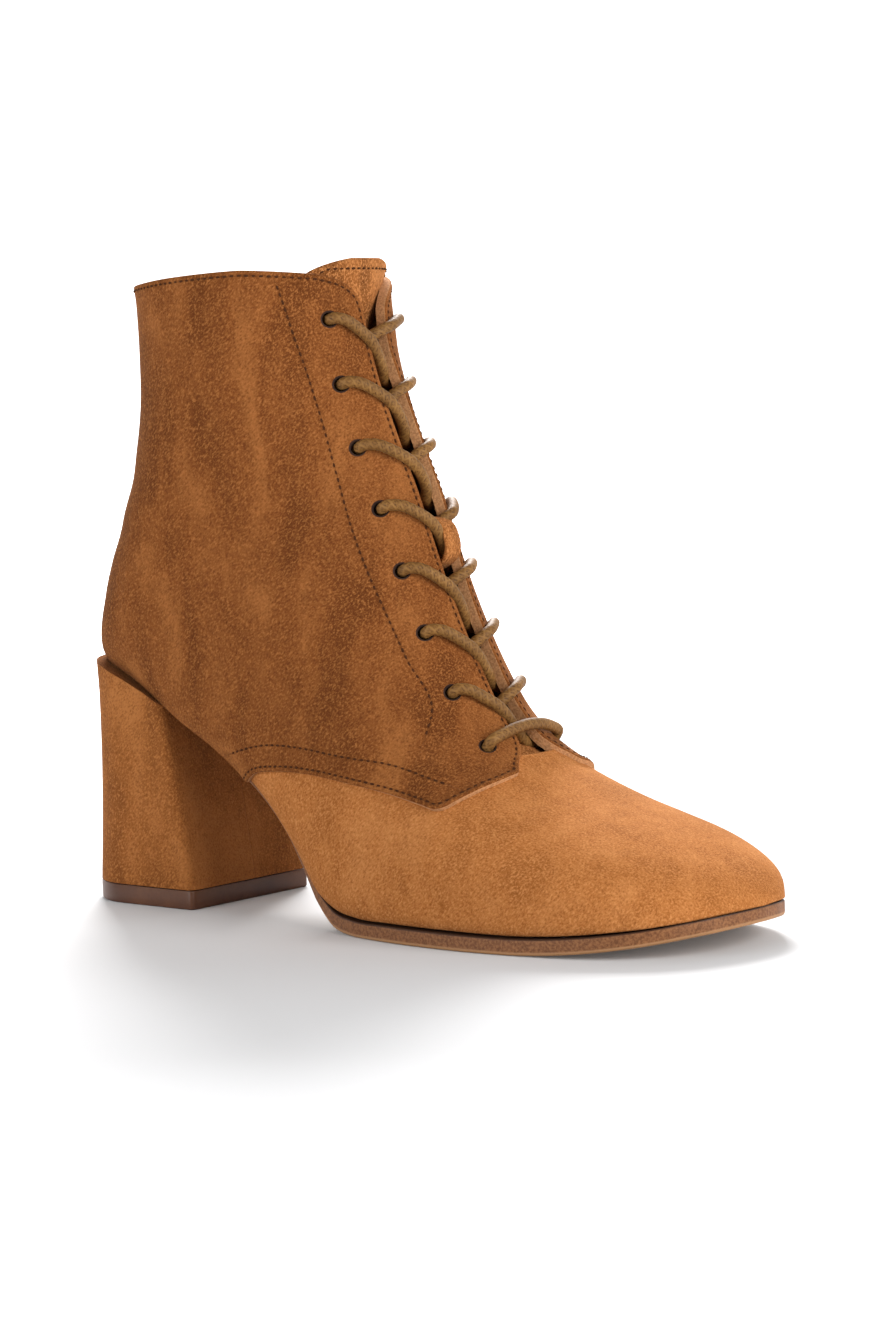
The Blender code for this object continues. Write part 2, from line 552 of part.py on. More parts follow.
def build_keeper(parts, material):
    """Strap on the tongue that stands as an arch over one crossing of the lace."""
    row, below = EYELETS[KEEPER_CROSSING], EYELETS[KEEPER_CROSSING - 1]
    ends = [front_point(r, THROAT_MIDDLE, 0.0) for r in (row, below)]
    pitch = np.linalg.norm(ends[1] - ends[0])
    foot = -OVERLAY - WALL - TONGUE_SINK - GAP
    turns = np.linspace(0.0, pi, 15)
    sides = THROAT_MIDDLE + np.array([-0.5, 0.0, 0.5]) * KEEPER_WIDTH
    faces = []
    for swell in (KEEPER_THICKNESS, 0.0):
        reach = 0.00595 + swell
        rise = KEEPER_HEIGHT - foot + swell
        grid = []
        for turn in turns:
            share = 0.485 - reach / pitch * np.sign(np.cos(turn)) * abs(np.cos(turn)) ** 0.75
            lift = foot + rise * abs(np.sin(turn)) ** 0.75
            grid.append([front_point(row + (below - row) * share, y, lift) for y in sides])
        faces.append(grid)
    return sheet_body("tongue_loop", faces[0], faces[1], parts, material)


def strand(name, points, collection, radius=LACE_RADIUS):
    """Round cord along points, as a closed mesh."""
    curve = bpy.data.curves.new(name, "CURVE")
    curve.dimensions = "3D"
    curve.bevel_depth = radius
    curve.bevel_resolution = 2
    curve.use_fill_caps = True
    spline = curve.splines.new("POLY")
    spline.points.add(len(points) - 1)
    for knot, p in zip(spline.points, points):
        knot.co = (*p, 1.0)
    source = link(bpy.data.objects.new(name + "_path", curve), collection)
    shape = bpy.data.meshes.new_from_object(source.evaluated_get(bpy.context.evaluated_depsgraph_get()))
    bpy.data.objects.remove(source)
    bm = bmesh.new()
    bm.from_mesh(shape)
    bpy.data.meshes.remove(shape)
    bmesh.ops.remove_doubles(bm, verts=bm.verts, dist=0.00001)
    return mesh_object(name, bm, collection)


def crossing_path(number, side):
    """From beside an eyelet, over the flap's edge and down into the gap."""
    row, below = EYELETS[number], EYELETS[number - 1]
    rest = LACE_RADIUS + 0.0006
    stations = (  # distance from the gap's middle, share of the way to the row below, lift
        (1.00, 0.00, rest), (0.72, 0.10, rest + 0.0002), (0.42, 0.24, rest + 0.0002),
        (0.24, 0.36, rest), (0.08, 0.46, rest - 0.0006), (-0.03, 0.52, rest - 0.0014),
        (-0.08, 0.56, rest - 0.0020),
    )
    middle = THROAT_MIDDLE
    reach = abs(eyelet_y(row, side) - middle) - 0.0006
    return [front_point(row + (below - row) * s, middle + side * reach * d, lift) for d, s, lift in stations]


def build_laces(parts, cutters, material):
    """The bar at the first eyelets and a crossing above each pair."""
    row = EYELETS[0]
    rest = LACE_RADIUS + 0.0006
    ends = [eyelet_y(row, side) for side in (-1, 1)]
    shares = np.linspace(0.02, 0.98, 9)
    path = [
        front_point(row + 0.35 * np.sin(pi * s), ends[0] + (ends[1] - ends[0]) * s, rest + 0.0004 * np.sin(pi * s))
        for s in shares
    ]
    strand("lace_bar", path, parts).data.materials.append(material)
    for number in range(1, EYELET_ROWS):
        outer = strand(f"lace_crossing_{number + 1}", crossing_path(number, -1), parts)
        outer.data.materials.append(material)
        inner = guide(strand(f"lace_inner_strand_{number + 1}", crossing_path(number, 1), cutters))
        combine(outer, inner, "UNION")


def make_materials():
    made = {}
    for name, (colour, roughness) in MATERIALS.items():
        material = bpy.data.materials.new(name)
        material.use_nodes = True
        shader = material.node_tree.nodes["Principled BSDF"]
        shader.inputs["Base Color"].default_value = colour
        shader.inputs["Roughness"].default_value = roughness
        material.diffuse_color = colour
        made[name] = material
    return made


def build():
    for obj in list(bpy.data.objects):
        bpy.data.objects.remove(obj)
    parts = bpy.data.collections.new("lace_up_ankle_boot")
    cutters = bpy.data.collections.new("cutters")
    for collection in (parts, cutters):
        bpy.context.scene.collection.children.link(collection)
    material = make_materials()
    build_outsole(parts, material["sole_rubber"])
    build_heel(parts, cutters, material["suede_quarter"], material["lift_rubber"])
    build_insole(parts, cutters, material["insole_leather"])
    build_upper(parts, cutters, material["suede_quarter"])
    build_tongue(parts, material["suede_vamp"])
    build_keeper(parts, material["suede_vamp"])
    build_laces(parts, cutters, material["lace_cord"])


build()
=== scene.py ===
from math import cos, pi, sin

import bmesh
import bpy
import numpy as np
from mathutils import Matrix, Vector


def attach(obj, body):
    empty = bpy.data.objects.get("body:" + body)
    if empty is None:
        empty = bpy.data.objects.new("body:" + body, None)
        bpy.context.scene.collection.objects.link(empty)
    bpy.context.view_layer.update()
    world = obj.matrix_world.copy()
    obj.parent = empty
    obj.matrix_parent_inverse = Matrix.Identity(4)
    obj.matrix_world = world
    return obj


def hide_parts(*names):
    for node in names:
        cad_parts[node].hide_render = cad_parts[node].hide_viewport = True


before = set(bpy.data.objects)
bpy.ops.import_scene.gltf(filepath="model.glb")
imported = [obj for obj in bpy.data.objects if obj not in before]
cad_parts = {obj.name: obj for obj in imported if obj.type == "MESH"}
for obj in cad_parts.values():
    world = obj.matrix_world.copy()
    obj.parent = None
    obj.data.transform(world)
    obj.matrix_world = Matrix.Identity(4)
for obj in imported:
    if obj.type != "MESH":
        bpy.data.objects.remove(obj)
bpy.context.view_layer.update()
print("frame loaded")

# The foot form that every leather piece follows. These are the boot's own sizes, in metres.
boot = {
    "length": 0.237,
    "ballWidth": 0.082,
    "heelHeight": 0.0742,
    "instepHeight": 0.0450,
    "shaftHeight": 0.1130,
    "soleThickness": 0.0046,
    "gap": 0.0003,
    "wall": 0.0016,
    "overlay": 0.0013,
    "throatMiddle": 0.0016,
    "restLength": 0.0501,
    "restWidth": 0.0520,
    "restBack": 0.0032,
    "topLift": 0.0056,
}
restCentre = boot["restBack"] + boot["restLength"] / 2
throatFloor = boot["soleThickness"] + 1.01 * boot["instepHeight"]
collarTop = boot["heelHeight"] + boot["shaftHeight"]

# the line under the foot: share of the length, share of the way up to the seat
seatLine = ((-0.080, 1.000), (0.030, 0.998), (0.076, 0.976), (0.118, 0.931), (0.156, 0.877))

# the sole: along, rise, thickness, outer and inner half widths, tuck of the lower edge
soleRows = (
    (0.192, 0.807, 0.48, 0.304, 0.296, 0.073),
    (0.228, 0.733, 0.48, 0.310, 0.302, 0.079),
    (0.270, 0.655, 0.48, 0.313, 0.305, 0.085),
    (0.312, 0.564, 0.48, 0.314, 0.306, 0.085),
    (0.354, 0.452, 0.50, 0.315, 0.300, 0.073),
    (0.388, 0.337, 0.57, 0.322, 0.300, 0.055),
    (0.422, 0.205, 0.67, 0.343, 0.314, 0.034),
    (0.456, 0.086, 0.83, 0.378, 0.345, 0.020),
    (0.489, 0.023, 0.98, 0.416, 0.380, 0.012),
    (0.532, 0.000, 1.00, 0.455, 0.420, 0.011),
    (0.591, 0.000, 1.00, 0.486, 0.457, 0.011),
    (0.654, 0.000, 1.00, 0.499, 0.484, 0.011),
    (0.717, 0.000, 1.00, 0.496, 0.498, 0.011),
    (0.781, 0.001, 1.00, 0.472, 0.497, 0.011),
    (0.840, 0.013, 0.98, 0.440, 0.478, 0.011),
    (0.890, 0.032, 0.96, 0.395, 0.450, 0.012),
    (0.932, 0.053, 0.93, 0.328, 0.397, 0.013),
    (0.964, 0.074, 0.91, 0.240, 0.316, 0.015),
    (0.985, 0.088, 0.89, 0.139, 0.227, 0.016),
    (0.994, 0.094, 0.87, 0.045, 0.136, 0.016),
    (0.997, 0.096, 0.87, -0.020, 0.072, 0.012),
)

# sections, toe to collar: back end (along, up), front end (along, instep, shaft),
# outer and inner half widths, ridge, widest level, squareness below and above it
formRows = (
    (0.999, -0.014, 0.999, 0.028, 0.000, 0.000, 0.000, 0.098, 0.42, 3.00, 2.20),
    (0.996, -0.026, 0.990, 0.097, 0.000, 0.100, 0.100, 0.098, 0.42, 3.40, 2.20),
    (0.984, -0.028, 0.970, 0.208, 0.000, 0.213, 0.201, 0.098, 0.41, 4.20, 2.30),
    (0.964, -0.028, 0.944, 0.316, 0.000, 0.311, 0.281, 0.095, 0.40, 4.60, 2.30),
    (0.930, -0.027, 0.909, 0.440, 0.000, 0.390, 0.348, 0.088, 0.39, 4.80, 2.30),
    (0.884, -0.027, 0.871, 0.551, 0.000, 0.445, 0.402, 0.078, 0.38, 4.90, 2.30),
    (0.829, -0.027, 0.825, 0.655, 0.000, 0.485, 0.439, 0.067, 0.37, 5.00, 2.30),
    (0.766, -0.028, 0.780, 0.750, 0.000, 0.512, 0.463, 0.056, 0.36, 5.00, 2.25),
    (0.694, -0.031, 0.737, 0.850, 0.000, 0.524, 0.470, 0.046, 0.35, 5.00, 2.20),
    (0.606, -0.034, 0.700, 0.970, 0.000, 0.518, 0.451, 0.037, 0.35, 4.80, 2.15),
    (0.520, -0.038, 0.667, 1.000, 0.046, 0.488, 0.421, 0.027, 0.35, 4.40, 2.10),
    (0.448, -0.065, 0.642, 1.000, 0.048, 0.451, 0.390, 0.020, 0.36, 4.00, 2.05),
    (0.391, -0.074, 0.620, 1.000, -0.001, 0.415, 0.372, 0.012, 0.38, 3.60, 2.00),
    (0.328, -0.076, 0.597, 1.000, -0.026, 0.390, 0.366, 0.007, 0.40, 3.40, 2.00),
    (0.252, -0.078, 0.575, 1.000, -0.014, 0.378, 0.366, 0.004, 0.40, 3.20, 2.00),
    (0.173, -0.091, 0.556, 1.000, 0.012, 0.378, 0.366, 0.000, 0.38, 3.00, 2.00),
    (0.101, -0.056, 0.539, 1.000, 0.056, 0.378, 0.372, 0.000, 0.36, 2.70, 2.00),
    (0.040, -0.008, 0.519, 1.000, 0.128, 0.378, 0.372, 0.000, 0.36, 2.40, 2.00),
    (0.047, 0.128, 0.498, 1.000, 0.228, 0.384, 0.378, 0.000, 0.38, 2.30, 2.00),
    (0.075, 0.296, 0.478, 1.000, 0.331, 0.384, 0.378, 0.000, 0.40, 2.25, 2.05),
    (0.105, 0.482, 0.463, 1.000, 0.433, 0.378, 0.372, 0.000, 0.42, 2.25, 2.10),
    (0.124, 0.665, 0.454, 1.000, 0.520, 0.378, 0.372, 0.000, 0.44, 2.25, 2.15),
    (0.128, 0.845, 0.447, 1.000, 0.588, 0.384, 0.378, 0.000, 0.46, 2.25, 2.15),
    (0.126, 1.029, 0.443, 1.000, 0.651, 0.393, 0.387, 0.000, 0.47, 2.25, 2.15),
    (0.124, 1.120, 0.440, 1.000, 0.735, 0.396, 0.390, 0.000, 0.47, 2.25, 2.15),
)

# gap between the flaps from the front: height share, outer edge, inner edge
throatRows = (
    (-0.043, -0.183, 0.183), (-0.025, -0.152, 0.152), (-0.007, -0.104, 0.104),
    (0.014, -0.068, 0.068), (0.058, -0.054, 0.054), (0.217, -0.050, 0.044),
    (0.507, -0.068, 0.040), (0.725, -0.066, 0.046), (0.889, -0.056, 0.056),
    (0.925, -0.058, 0.080), (0.950, -0.075, 0.130), (0.971, -0.118, 0.200),
    (0.990, -0.205, 0.300), (1.014, -0.530, 0.530),
)

# side views of the quarters' lower edge and of the collar
quarterEdge = (
    (0.329, 0.776), (0.354, 0.853), (0.401, 0.889), (0.456, 0.887), (0.527, 0.842),
    (0.591, 0.784), (0.633, 0.736), (0.650, 0.716), (0.660, 0.724), (0.675, 0.773),
    (0.692, 0.836), (0.704, 0.884), (0.710, 0.938), (0.708, 1.009),
)
collarEdge = ((0.084, 0.974), (0.169, 0.979), (0.253, 0.993), (0.338, 1.003), (0.485, 1.007))


def smoothRows(table, at):
    last = len(table) - 2
    first = np.clip(np.floor(at).astype(int), 0, last)
    share = (at - first)[:, None]
    before, start = table[np.maximum(first - 1, 0)], table[first]
    end, after = table[first + 1], table[np.minimum(first + 2, last + 1)]
    bend = (2 * before - 5 * start + 4 * end - after) * share**2
    twist = (3 * start - before - 3 * end + after) * share**3
    return 0.5 * (2 * start + (end - before) * share + bend + twist)


def smoothLine(x, knotsX, knotsY):
    x = np.asarray(x, float)
    slopes = np.gradient(knotsY, knotsX)
    i = np.clip(np.searchsorted(knotsX, x) - 1, 0, len(knotsX) - 2)
    width = knotsX[i + 1] - knotsX[i]
    t = np.clip((x - knotsX[i]) / width, 0, 1)
    rise = (1 + 2 * t) * (1 - t) ** 2 * knotsY[i] + t**2 * (3 - 2 * t) * knotsY[i + 1]
    return rise + (t * (1 - t) ** 2 * slopes[i] - t**2 * (1 - t) * slopes[i + 1]) * width


soleTable = np.array(soleRows, float)
lineShares = np.vstack([np.array(seatLine), soleTable[:, :2]])
lineX = lineShares[:, 0] * boot["length"] - restCentre
lineZ = boot["soleThickness"] + lineShares[:, 1] * (boot["heelHeight"] - boot["soleThickness"])


def seatHeight(x):
    return smoothLine(x, lineX, lineZ)


def formTable():
    rows = np.array(formRows, float)
    backX = rows[:, 0] * boot["length"] - restCentre
    base = seatHeight(backX)
    out = np.empty((len(rows), 10))
    out[:, 0] = backX
    out[:, 1] = base + rows[:, 1] * boot["shaftHeight"]
    out[:, 2] = rows[:, 2] * boot["length"] - restCentre
    out[:, 3] = base + rows[:, 3] * boot["instepHeight"] + rows[:, 4] * boot["shaftHeight"]
    out[:, 4:6] = (rows[:, 5:7] * boot["ballWidth"]) ** 2
    out[:, 6] = rows[:, 7] * boot["ballWidth"]
    out[:, 7:] = rows[:, 8:]
    return out


form = formTable()
lastRow = len(form) - 1


def formSurface(row, angle):  # angle 0 below, pi above, negative on the outer side
    angle = (angle + pi) % (2 * pi) - pi
    backX, backZ, frontX, frontZ, outer, inner, ridge, level, low, high = smoothRows(form, row).T
    half = np.sqrt(np.maximum(np.where(angle < 0, outer, inner), 0.0))
    below = np.abs(angle) < pi / 2
    square = 2 / np.where(below, low, high)
    out = np.abs(np.sin(angle)) ** square
    up = np.abs(np.cos(angle)) ** square
    share = np.where(below, level * (1 - up), level + (1 - level) * up)
    x = backX + (frontX - backX) * share
    y = np.where(angle < 0, -half, half) * out + ridge * (1 + share) / 2
    return np.stack([x, y, backZ + (frontZ - backZ) * share], -1)


def formNormal(row, angle):
    low, high = np.maximum(row - 0.02, 0.02), np.minimum(row + 0.02, lastRow)
    along = formSurface(high, angle) - formSurface(low, angle)
    around = formSurface(row, angle + 0.01) - formSurface(row, angle - 0.01)
    normal = np.cross(along, around)
    return normal / np.maximum(np.linalg.norm(normal, axis=-1, keepdims=True), 1e-12)


def formPoints(row, angle, offset=0.0):
    row, angle = np.broadcast_arrays(np.asarray(row, float), np.asarray(angle, float))
    flatRow, flatAngle = row.ravel(), angle.ravel()
    lift = np.broadcast_to(np.asarray(offset, float), row.shape).reshape(-1, 1)
    points = formSurface(flatRow, flatAngle) + formNormal(flatRow, flatAngle) * lift
    return points.reshape(row.shape + (3,))


def evenAngles(rows, columns, wrapFront):  # angles at even steps round each section
    fine = np.linspace(0, pi, 181)
    steps = np.linspace(0, 1, columns)
    rising = np.linspace(0, 1e-7, fine.size)  # keeps a run rising where a section is a point
    sides = []
    for side in (-1, 1):
        rr, aa = np.meshgrid(rows, fine * side, indexing="ij")
        p = formSurface(rr.ravel(), aa.ravel()).reshape(rr.shape + (3,))
        run = np.cumsum(np.linalg.norm(np.diff(p, axis=1), axis=-1), axis=1)
        run = np.concatenate([np.zeros((len(rows), 1)), run], axis=1) + rising
        run /= run[:, -1:]
        sides.append(side * np.array([np.interp(steps, r, fine) for r in run]))
    outer, inner = sides
    if wrapFront:  # 0, inner side, front, outer side, back to 0
        return np.concatenate([inner, 2 * pi + outer[:, -2::-1]], axis=1)
    return np.concatenate([outer[:, ::-1], inner[:, 1:]], axis=1)


def distanceTo(points, line):  # to a flat line of points
    a, b = line[:-1], line[1:]
    best = np.full(len(points), np.inf)
    for p, q in zip(a, b):
        d = q - p
        t = np.clip(((points - p) @ d) / max(d @ d, 1e-18), 0, 1)
        best = np.minimum(best, ((points - p - t[:, None] * d) ** 2).sum(1))
    return np.sqrt(best)


def insideLoop(points, loop):
    x, y = points.T
    inside = np.zeros(len(points), bool)
    for (x0, y0), (x1, y1) in zip(loop, np.roll(loop, -1, 0)):
        crosses = (y0 > y) != (y1 > y)
        if abs(y1 - y0) > 1e-15:
            inside ^= crosses & (x < (x1 - x0) * (y - y0) / (y1 - y0) + x0)
    return inside


def signedDistance(points, loop, edge=None):
    distance = distanceTo(points, np.vstack([loop, loop[:1]]) if edge is None else edge)
    return np.where(insideLoop(points, loop), distance, -distance)


def runAlong(points):  # length along a line up to each of its points
    return np.concatenate([[0], np.cumsum(np.linalg.norm(np.diff(points, axis=0), axis=1))])


def curvePoints(knots, steps):  # even smooth curve through flat knots
    knots = np.asarray(knots, float)
    run = runAlong(knots)
    at = np.linspace(0, run[-1], steps)
    return np.stack([smoothLine(at, run, knots[:, i]) for i in range(knots.shape[1])], 1)


throatTable = np.array(throatRows, float)
throatZ = throatFloor + throatTable[:, 0] * (collarTop - throatFloor)
throatOuter = boot["throatMiddle"] + throatTable[:, 1] * boot["ballWidth"]
throatInner = boot["throatMiddle"] + throatTable[:, 2] * boot["ballWidth"]


def gapLoop(floor):
    zs = np.linspace(max(floor, throatZ[0]), throatZ[-1], 90)
    outer, inner = (smoothLine(zs, throatZ, edge) for edge in (throatOuter, throatInner))
    return np.vstack([np.stack([outer, zs], 1), np.stack([inner, zs], 1)[::-1]])


def flapEdges(z):
    return np.interp(z, throatZ, throatOuter), np.interp(z, throatZ, throatInner)


def sideLine(shares, floor, height, steps):  # smooth line through side-view shares
    knots = [(x * boot["length"] - restCentre, floor + z * height) for x, z in shares]
    return curvePoints(knots, steps)


# the sheet, larger than the boot, on which the side view's outlines close
sheet = {
    "back": -0.2,
    "collarBack": -0.1,
    "front": 0.2,
    "low": -0.02,
    "deep": -0.12,
    "high": 0.30,
    "waistTuck": 0.004,
    "throatTuck": 0.005,
    "throatTop": 0.08,
}
farAway = 0.05  # distance given to what an edge or seam doesn't reach
steepLimits = (0.25, 1.2)

quarterLine = sideLine(quarterEdge, boot["soleThickness"], boot["instepHeight"], 90)
collarLine = sideLine(collarEdge, boot["heelHeight"], boot["shaftHeight"], 30)
collarLine = np.vstack([
    [sheet["collarBack"], collarLine[0, 1]], collarLine, [sheet["front"], collarLine[-1, 1]],
])


def makeGrid(rows, columns, wrapFront):
    angles = evenAngles(rows, columns, wrapFront)
    rr = np.repeat(rows[:, None], angles.shape[1], axis=1)
    points = formSurface(rr.ravel(), angles.ravel()).reshape(rr.shape + (3,))
    normals = formNormal(rr.ravel(), angles.ravel()).reshape(rr.shape + (3,))
    return {"row": rr, "angle": angles, "p": points, "n": normals}


def slopeOf(grid, field):  # a field's gradient along the surface
    pu, pv = np.gradient(grid["p"], axis=0), np.gradient(grid["p"], axis=1)
    gu, gv = np.gradient(field, axis=0), np.gradient(field, axis=1)
    e, f, g = (pu * pu).sum(-1), (pu * pv).sum(-1), (pv * pv).sum(-1)
    det = np.maximum(e * g - f * f, 1e-18)
    a, b = (g * gu - f * gv) / det, (e * gv - f * gu) / det
    return a[..., None] * pu + b[..., None] * pv


def trueDistance(grid, field):  # turns a flat distance into one along the leather
    steep = np.linalg.norm(slopeOf(grid, field), axis=-1)
    return field / np.clip(steep, *steepLimits)


def regionFields(grid, floor):  # distance inward from each of the leather's edges
    p = grid["p"].reshape(-1, 3)
    side, front = p[:, [0, 2]], p[:, [1, 2]]
    throat = quarterLine[-1, 0] + sheet["throatTuck"]
    quarterLoop = np.vstack([
        [quarterLine[0, 0] - sheet["waistTuck"], sheet["low"]], quarterLine,
        [throat, sheet["throatTop"]], [throat, sheet["high"]],
        [sheet["back"], sheet["high"]], [sheet["back"], sheet["low"]],
    ])
    collarLoop = np.vstack([
        collarLine, [sheet["front"], sheet["deep"]], [sheet["collarBack"], sheet["deep"]],
    ])
    isFront = np.abs((grid["angle"].ravel() + pi) % (2 * pi) - pi) > pi / 2
    fields = {
        "side": signedDistance(side, quarterLoop, quarterLoop[:-3]),
        "collar": signedDistance(side, collarLoop, collarLine),
        "gap": np.where(isFront, -signedDistance(front, gapLoop(floor)), farAway),
        "sole": p[:, 2] - seatHeight(p[:, 0]) - boot["gap"],
    }
    shape = grid["row"].shape
    return {name: trueDistance(grid, value.reshape(shape)) for name, value in fields.items()}


def gridQuads(count, around):  # corners of a grid's faces
    ids = np.arange(count * around).reshape(count, around)
    corners = [ids[:-1, :-1], ids[1:, :-1], ids[1:, 1:], ids[:-1, 1:]]
    return ids, np.stack(corners, -1).reshape(-1, 4)


def clipGrid(keep, carried):  # cuts a grid along the line where keep is 0
    _, quads = gridQuads(*keep.shape)
    tris = np.concatenate([quads[:, :3], quads[:, [0, 2, 3]]])
    value, total = keep.ravel(), keep.size
    inside = value[tris] > 0
    count = inside.sum(1)
    mixed = (count == 1) | (count == 2)
    cuts, extra, edges = {}, [], []

    def cut(i, j):
        return cuts.setdefault((min(i, j), max(i, j)), total + len(cuts))

    for tri, flags in zip(tris[mixed].tolist(), inside[mixed].tolist()):
        single = sum(flags) == 1  # one corner stays, or else one goes
        k = flags.index(single)
        p, q, r = tri[k:] + tri[:k]
        m, n = cut(p, q), cut(p, r)
        extra += [(p, m, n)] if single else [(m, q, r), (m, r, n)]
        edges.append((m, n) if single else (n, m))
    faces = np.concatenate([tris[count == 3], np.array(extra, int).reshape(-1, 3)])
    start, end = np.array(list(cuts), int).reshape(-1, 2).T
    share = (value[start] / (value[start] - value[end]))[:, None]
    used = np.unique(faces)
    back = np.full(total + len(start), -1)
    back[used] = np.arange(len(used))
    table = {}
    for name, values in carried.items():
        flat = values.reshape(total, -1)
        table[name] = np.concatenate([flat, flat[start] * (1 - share) + flat[end] * share])[used]
    return table, back[faces], back[np.array(edges, int).reshape(-1, 2)]


def unit(v):
    return v / np.maximum(np.linalg.norm(v, axis=-1, keepdims=True), 1e-12)


def chains(edges):  # joins cut edges into lines of vertex numbers
    following = {int(i): int(j) for i, j in edges}
    ends = set(following.values())
    starts = [i for i in following if i not in ends]
    lines, seen = [], set()
    for first in starts + list(following):
        if first in seen:
            continue
        line = [first]
        seen.add(first)
        while line[-1] in following and following[line[-1]] not in seen:
            line.append(following[line[-1]])
            seen.add(line[-1])
        if len(line) > 2:
            if following.get(line[-1]) == first:
                line.append(first)
            lines.append(line)
    return lines


def evenLine(points, pitch):
    run = runAlong(points)
    at = np.linspace(0.0, run[-1], max(2, int(run[-1] / pitch) + 1))
    return np.stack([np.interp(at, run, points[:, i]) for i in range(3)], 1)


def addObject(name, data):
    obj = bpy.data.objects.new(name, data)
    bpy.context.scene.collection.objects.link(obj)
    return obj


def setField(mesh, name, values):  # a value at every vertex, which a material reads
    layer = mesh.attributes.new(name, "FLOAT", "POINT")
    layer.data.foreach_set("value", np.asarray(values, np.float32).ravel())


def makeMesh(name, points, faces, materials, slots=None, values=None, merge=0.0):
    mesh = bpy.data.meshes.new(name)
    mesh.from_pydata(np.asarray(points).tolist(), [], [list(map(int, f)) for f in faces])
    for material in materials:
        mesh.materials.append(material)
    if slots is not None:
        mesh.polygons.foreach_set("material_index", np.asarray(slots, np.int32))
    for key, value in (values or {}).items():
        setField(mesh, key, value)
    if merge:
        bm = bmesh.new()
        bm.from_mesh(mesh)
        bmesh.ops.remove_doubles(bm, verts=bm.verts, dist=merge)
        bmesh.ops.dissolve_degenerate(bm, edges=bm.edges, dist=1e-7)
        bm.to_mesh(mesh)
        bm.free()
    mesh.shade_smooth()
    mesh.update()
    return addObject(name, mesh)


def turnOutward(mesh):
    bm = bmesh.new()
    bm.from_mesh(mesh)
    bmesh.ops.recalc_face_normals(bm, faces=bm.faces)
    bm.to_mesh(mesh)
    bm.free()
    mesh.shade_smooth()


def rimStrips(table, edges, offset, profile):  # sweeps (outward, down) steps along cut edges
    firstId = len(table["p"])
    used, inverse = np.unique(edges, return_inverse=True)
    inverse = inverse.reshape(edges.shape)
    normal = unit(table["n"][used])
    out = -table["slope"][used]
    out = unit(out - (out * normal).sum(-1, keepdims=True) * normal)
    base = table["p"][used] + normal * offset[used][:, None]
    points, faces, owners = [], [], []
    previous = used[inverse]
    for step, (outward, down) in enumerate(profile):
        ring = base + out * outward - normal * down
        ids = firstId + step * len(used) + np.arange(len(used))
        points.append(ring)
        owners.append(used)
        current = ids[inverse]
        faces.append(np.stack([previous[:, 1], previous[:, 0], current[:, 0], current[:, 1]], 1))
        previous = current
    return np.concatenate(points), faces, np.concatenate(owners)


class Shader:  # a material with short calls for its nodes
    def __init__(self, name, color, roughness, **settings):
        self.material = bpy.data.materials.new(name)
        self.material.use_nodes = True
        self.tree = self.material.node_tree
        self.surface = self.tree.nodes["Principled BSDF"]
        self.material.diffuse_color = (*color, 1.0)
        self.surface.inputs["Base Color"].default_value = (*color, 1.0)
        self.surface.inputs["Roughness"].default_value = roughness
        for key, value in settings.items():
            self.surface.inputs[key].default_value = value

    def add(self, kind, inputs=None, **settings):
        node = self.tree.nodes.new("ShaderNode" + kind)
        for key, value in settings.items():
            setattr(node, key, value)
        for key, value in (inputs or {}).items():
            self.put(node.inputs[key], value)
        return node

    def put(self, socket, value):
        if isinstance(value, bpy.types.NodeSocket):
            self.tree.links.new(value, socket)
        else:
            socket.default_value = value

    def place(self, scale=(1, 1, 1), turn=0.0):
        coordinates = self.add("TexCoord").outputs["Object"]
        if turn:
            turned = {"Vector": coordinates, "Rotation": (0.0, turn, 0.0)}
            coordinates = self.add("Mapping", turned).outputs[0]
        if scale == (1, 1, 1):
            return coordinates
        return self.add("Mapping", {"Vector": coordinates, "Scale": scale}).outputs[0]

    def noise(self, scale, detail=3.0, rough=0.5, stretch=(1, 1, 1), distort=0.0, turn=0.0):
        inputs = {"Vector": self.place(stretch, turn), "Scale": scale, "Detail": detail,
                  "Roughness": rough, "Distortion": distort}
        return self.add("TexNoise", inputs).outputs["Fac"]

    def math(self, operation, *values):
        node = self.add("Math", operation=operation)
        for socket, value in zip(node.inputs, values):
            self.put(socket, value)
        return node.outputs[0]

    def ramp(self, value, low, high, atLow=0.0, atHigh=1.0):
        inputs = {"Value": value, "From Min": low, "From Max": high,
                  "To Min": atLow, "To Max": atHigh}
        return self.add("MapRange", inputs, interpolation_type="SMOOTHSTEP").outputs[0]

    def blend(self, share, a, b):
        node = self.add("Mix", data_type="RGBA")
        self.put(node.inputs[0], share)
        self.put(node.inputs[6], (*a, 1.0) if isinstance(a, tuple) else a)
        self.put(node.inputs[7], (*b, 1.0) if isinstance(b, tuple) else b)
        return node.outputs[2]

    def field(self, name):
        return self.add("Attribute", attribute_name=name, attribute_type="GEOMETRY").outputs["Fac"]

    def bump(self, *layers):  # (height socket, metres)
        normal = None
        for height, distance in layers:
            inputs = {"Height": height, "Strength": 1.0, "Distance": distance}
            if normal is not None:
                inputs["Normal"] = normal
            normal = self.add("Bump", inputs).outputs[0]
        self.tree.links.new(normal, self.surface.inputs["Normal"])

    def color(self, socket):
        self.tree.links.new(socket, self.surface.inputs["Base Color"])

    def shades(self, base, *layers):  # (pattern, low, high, share at low, share at high, color)
        tone = base
        for pattern, low, high, atLow, atHigh, color in layers:
            tone = self.blend(self.ramp(pattern, low, high, atLow, atHigh), tone, color)
        self.color(tone)


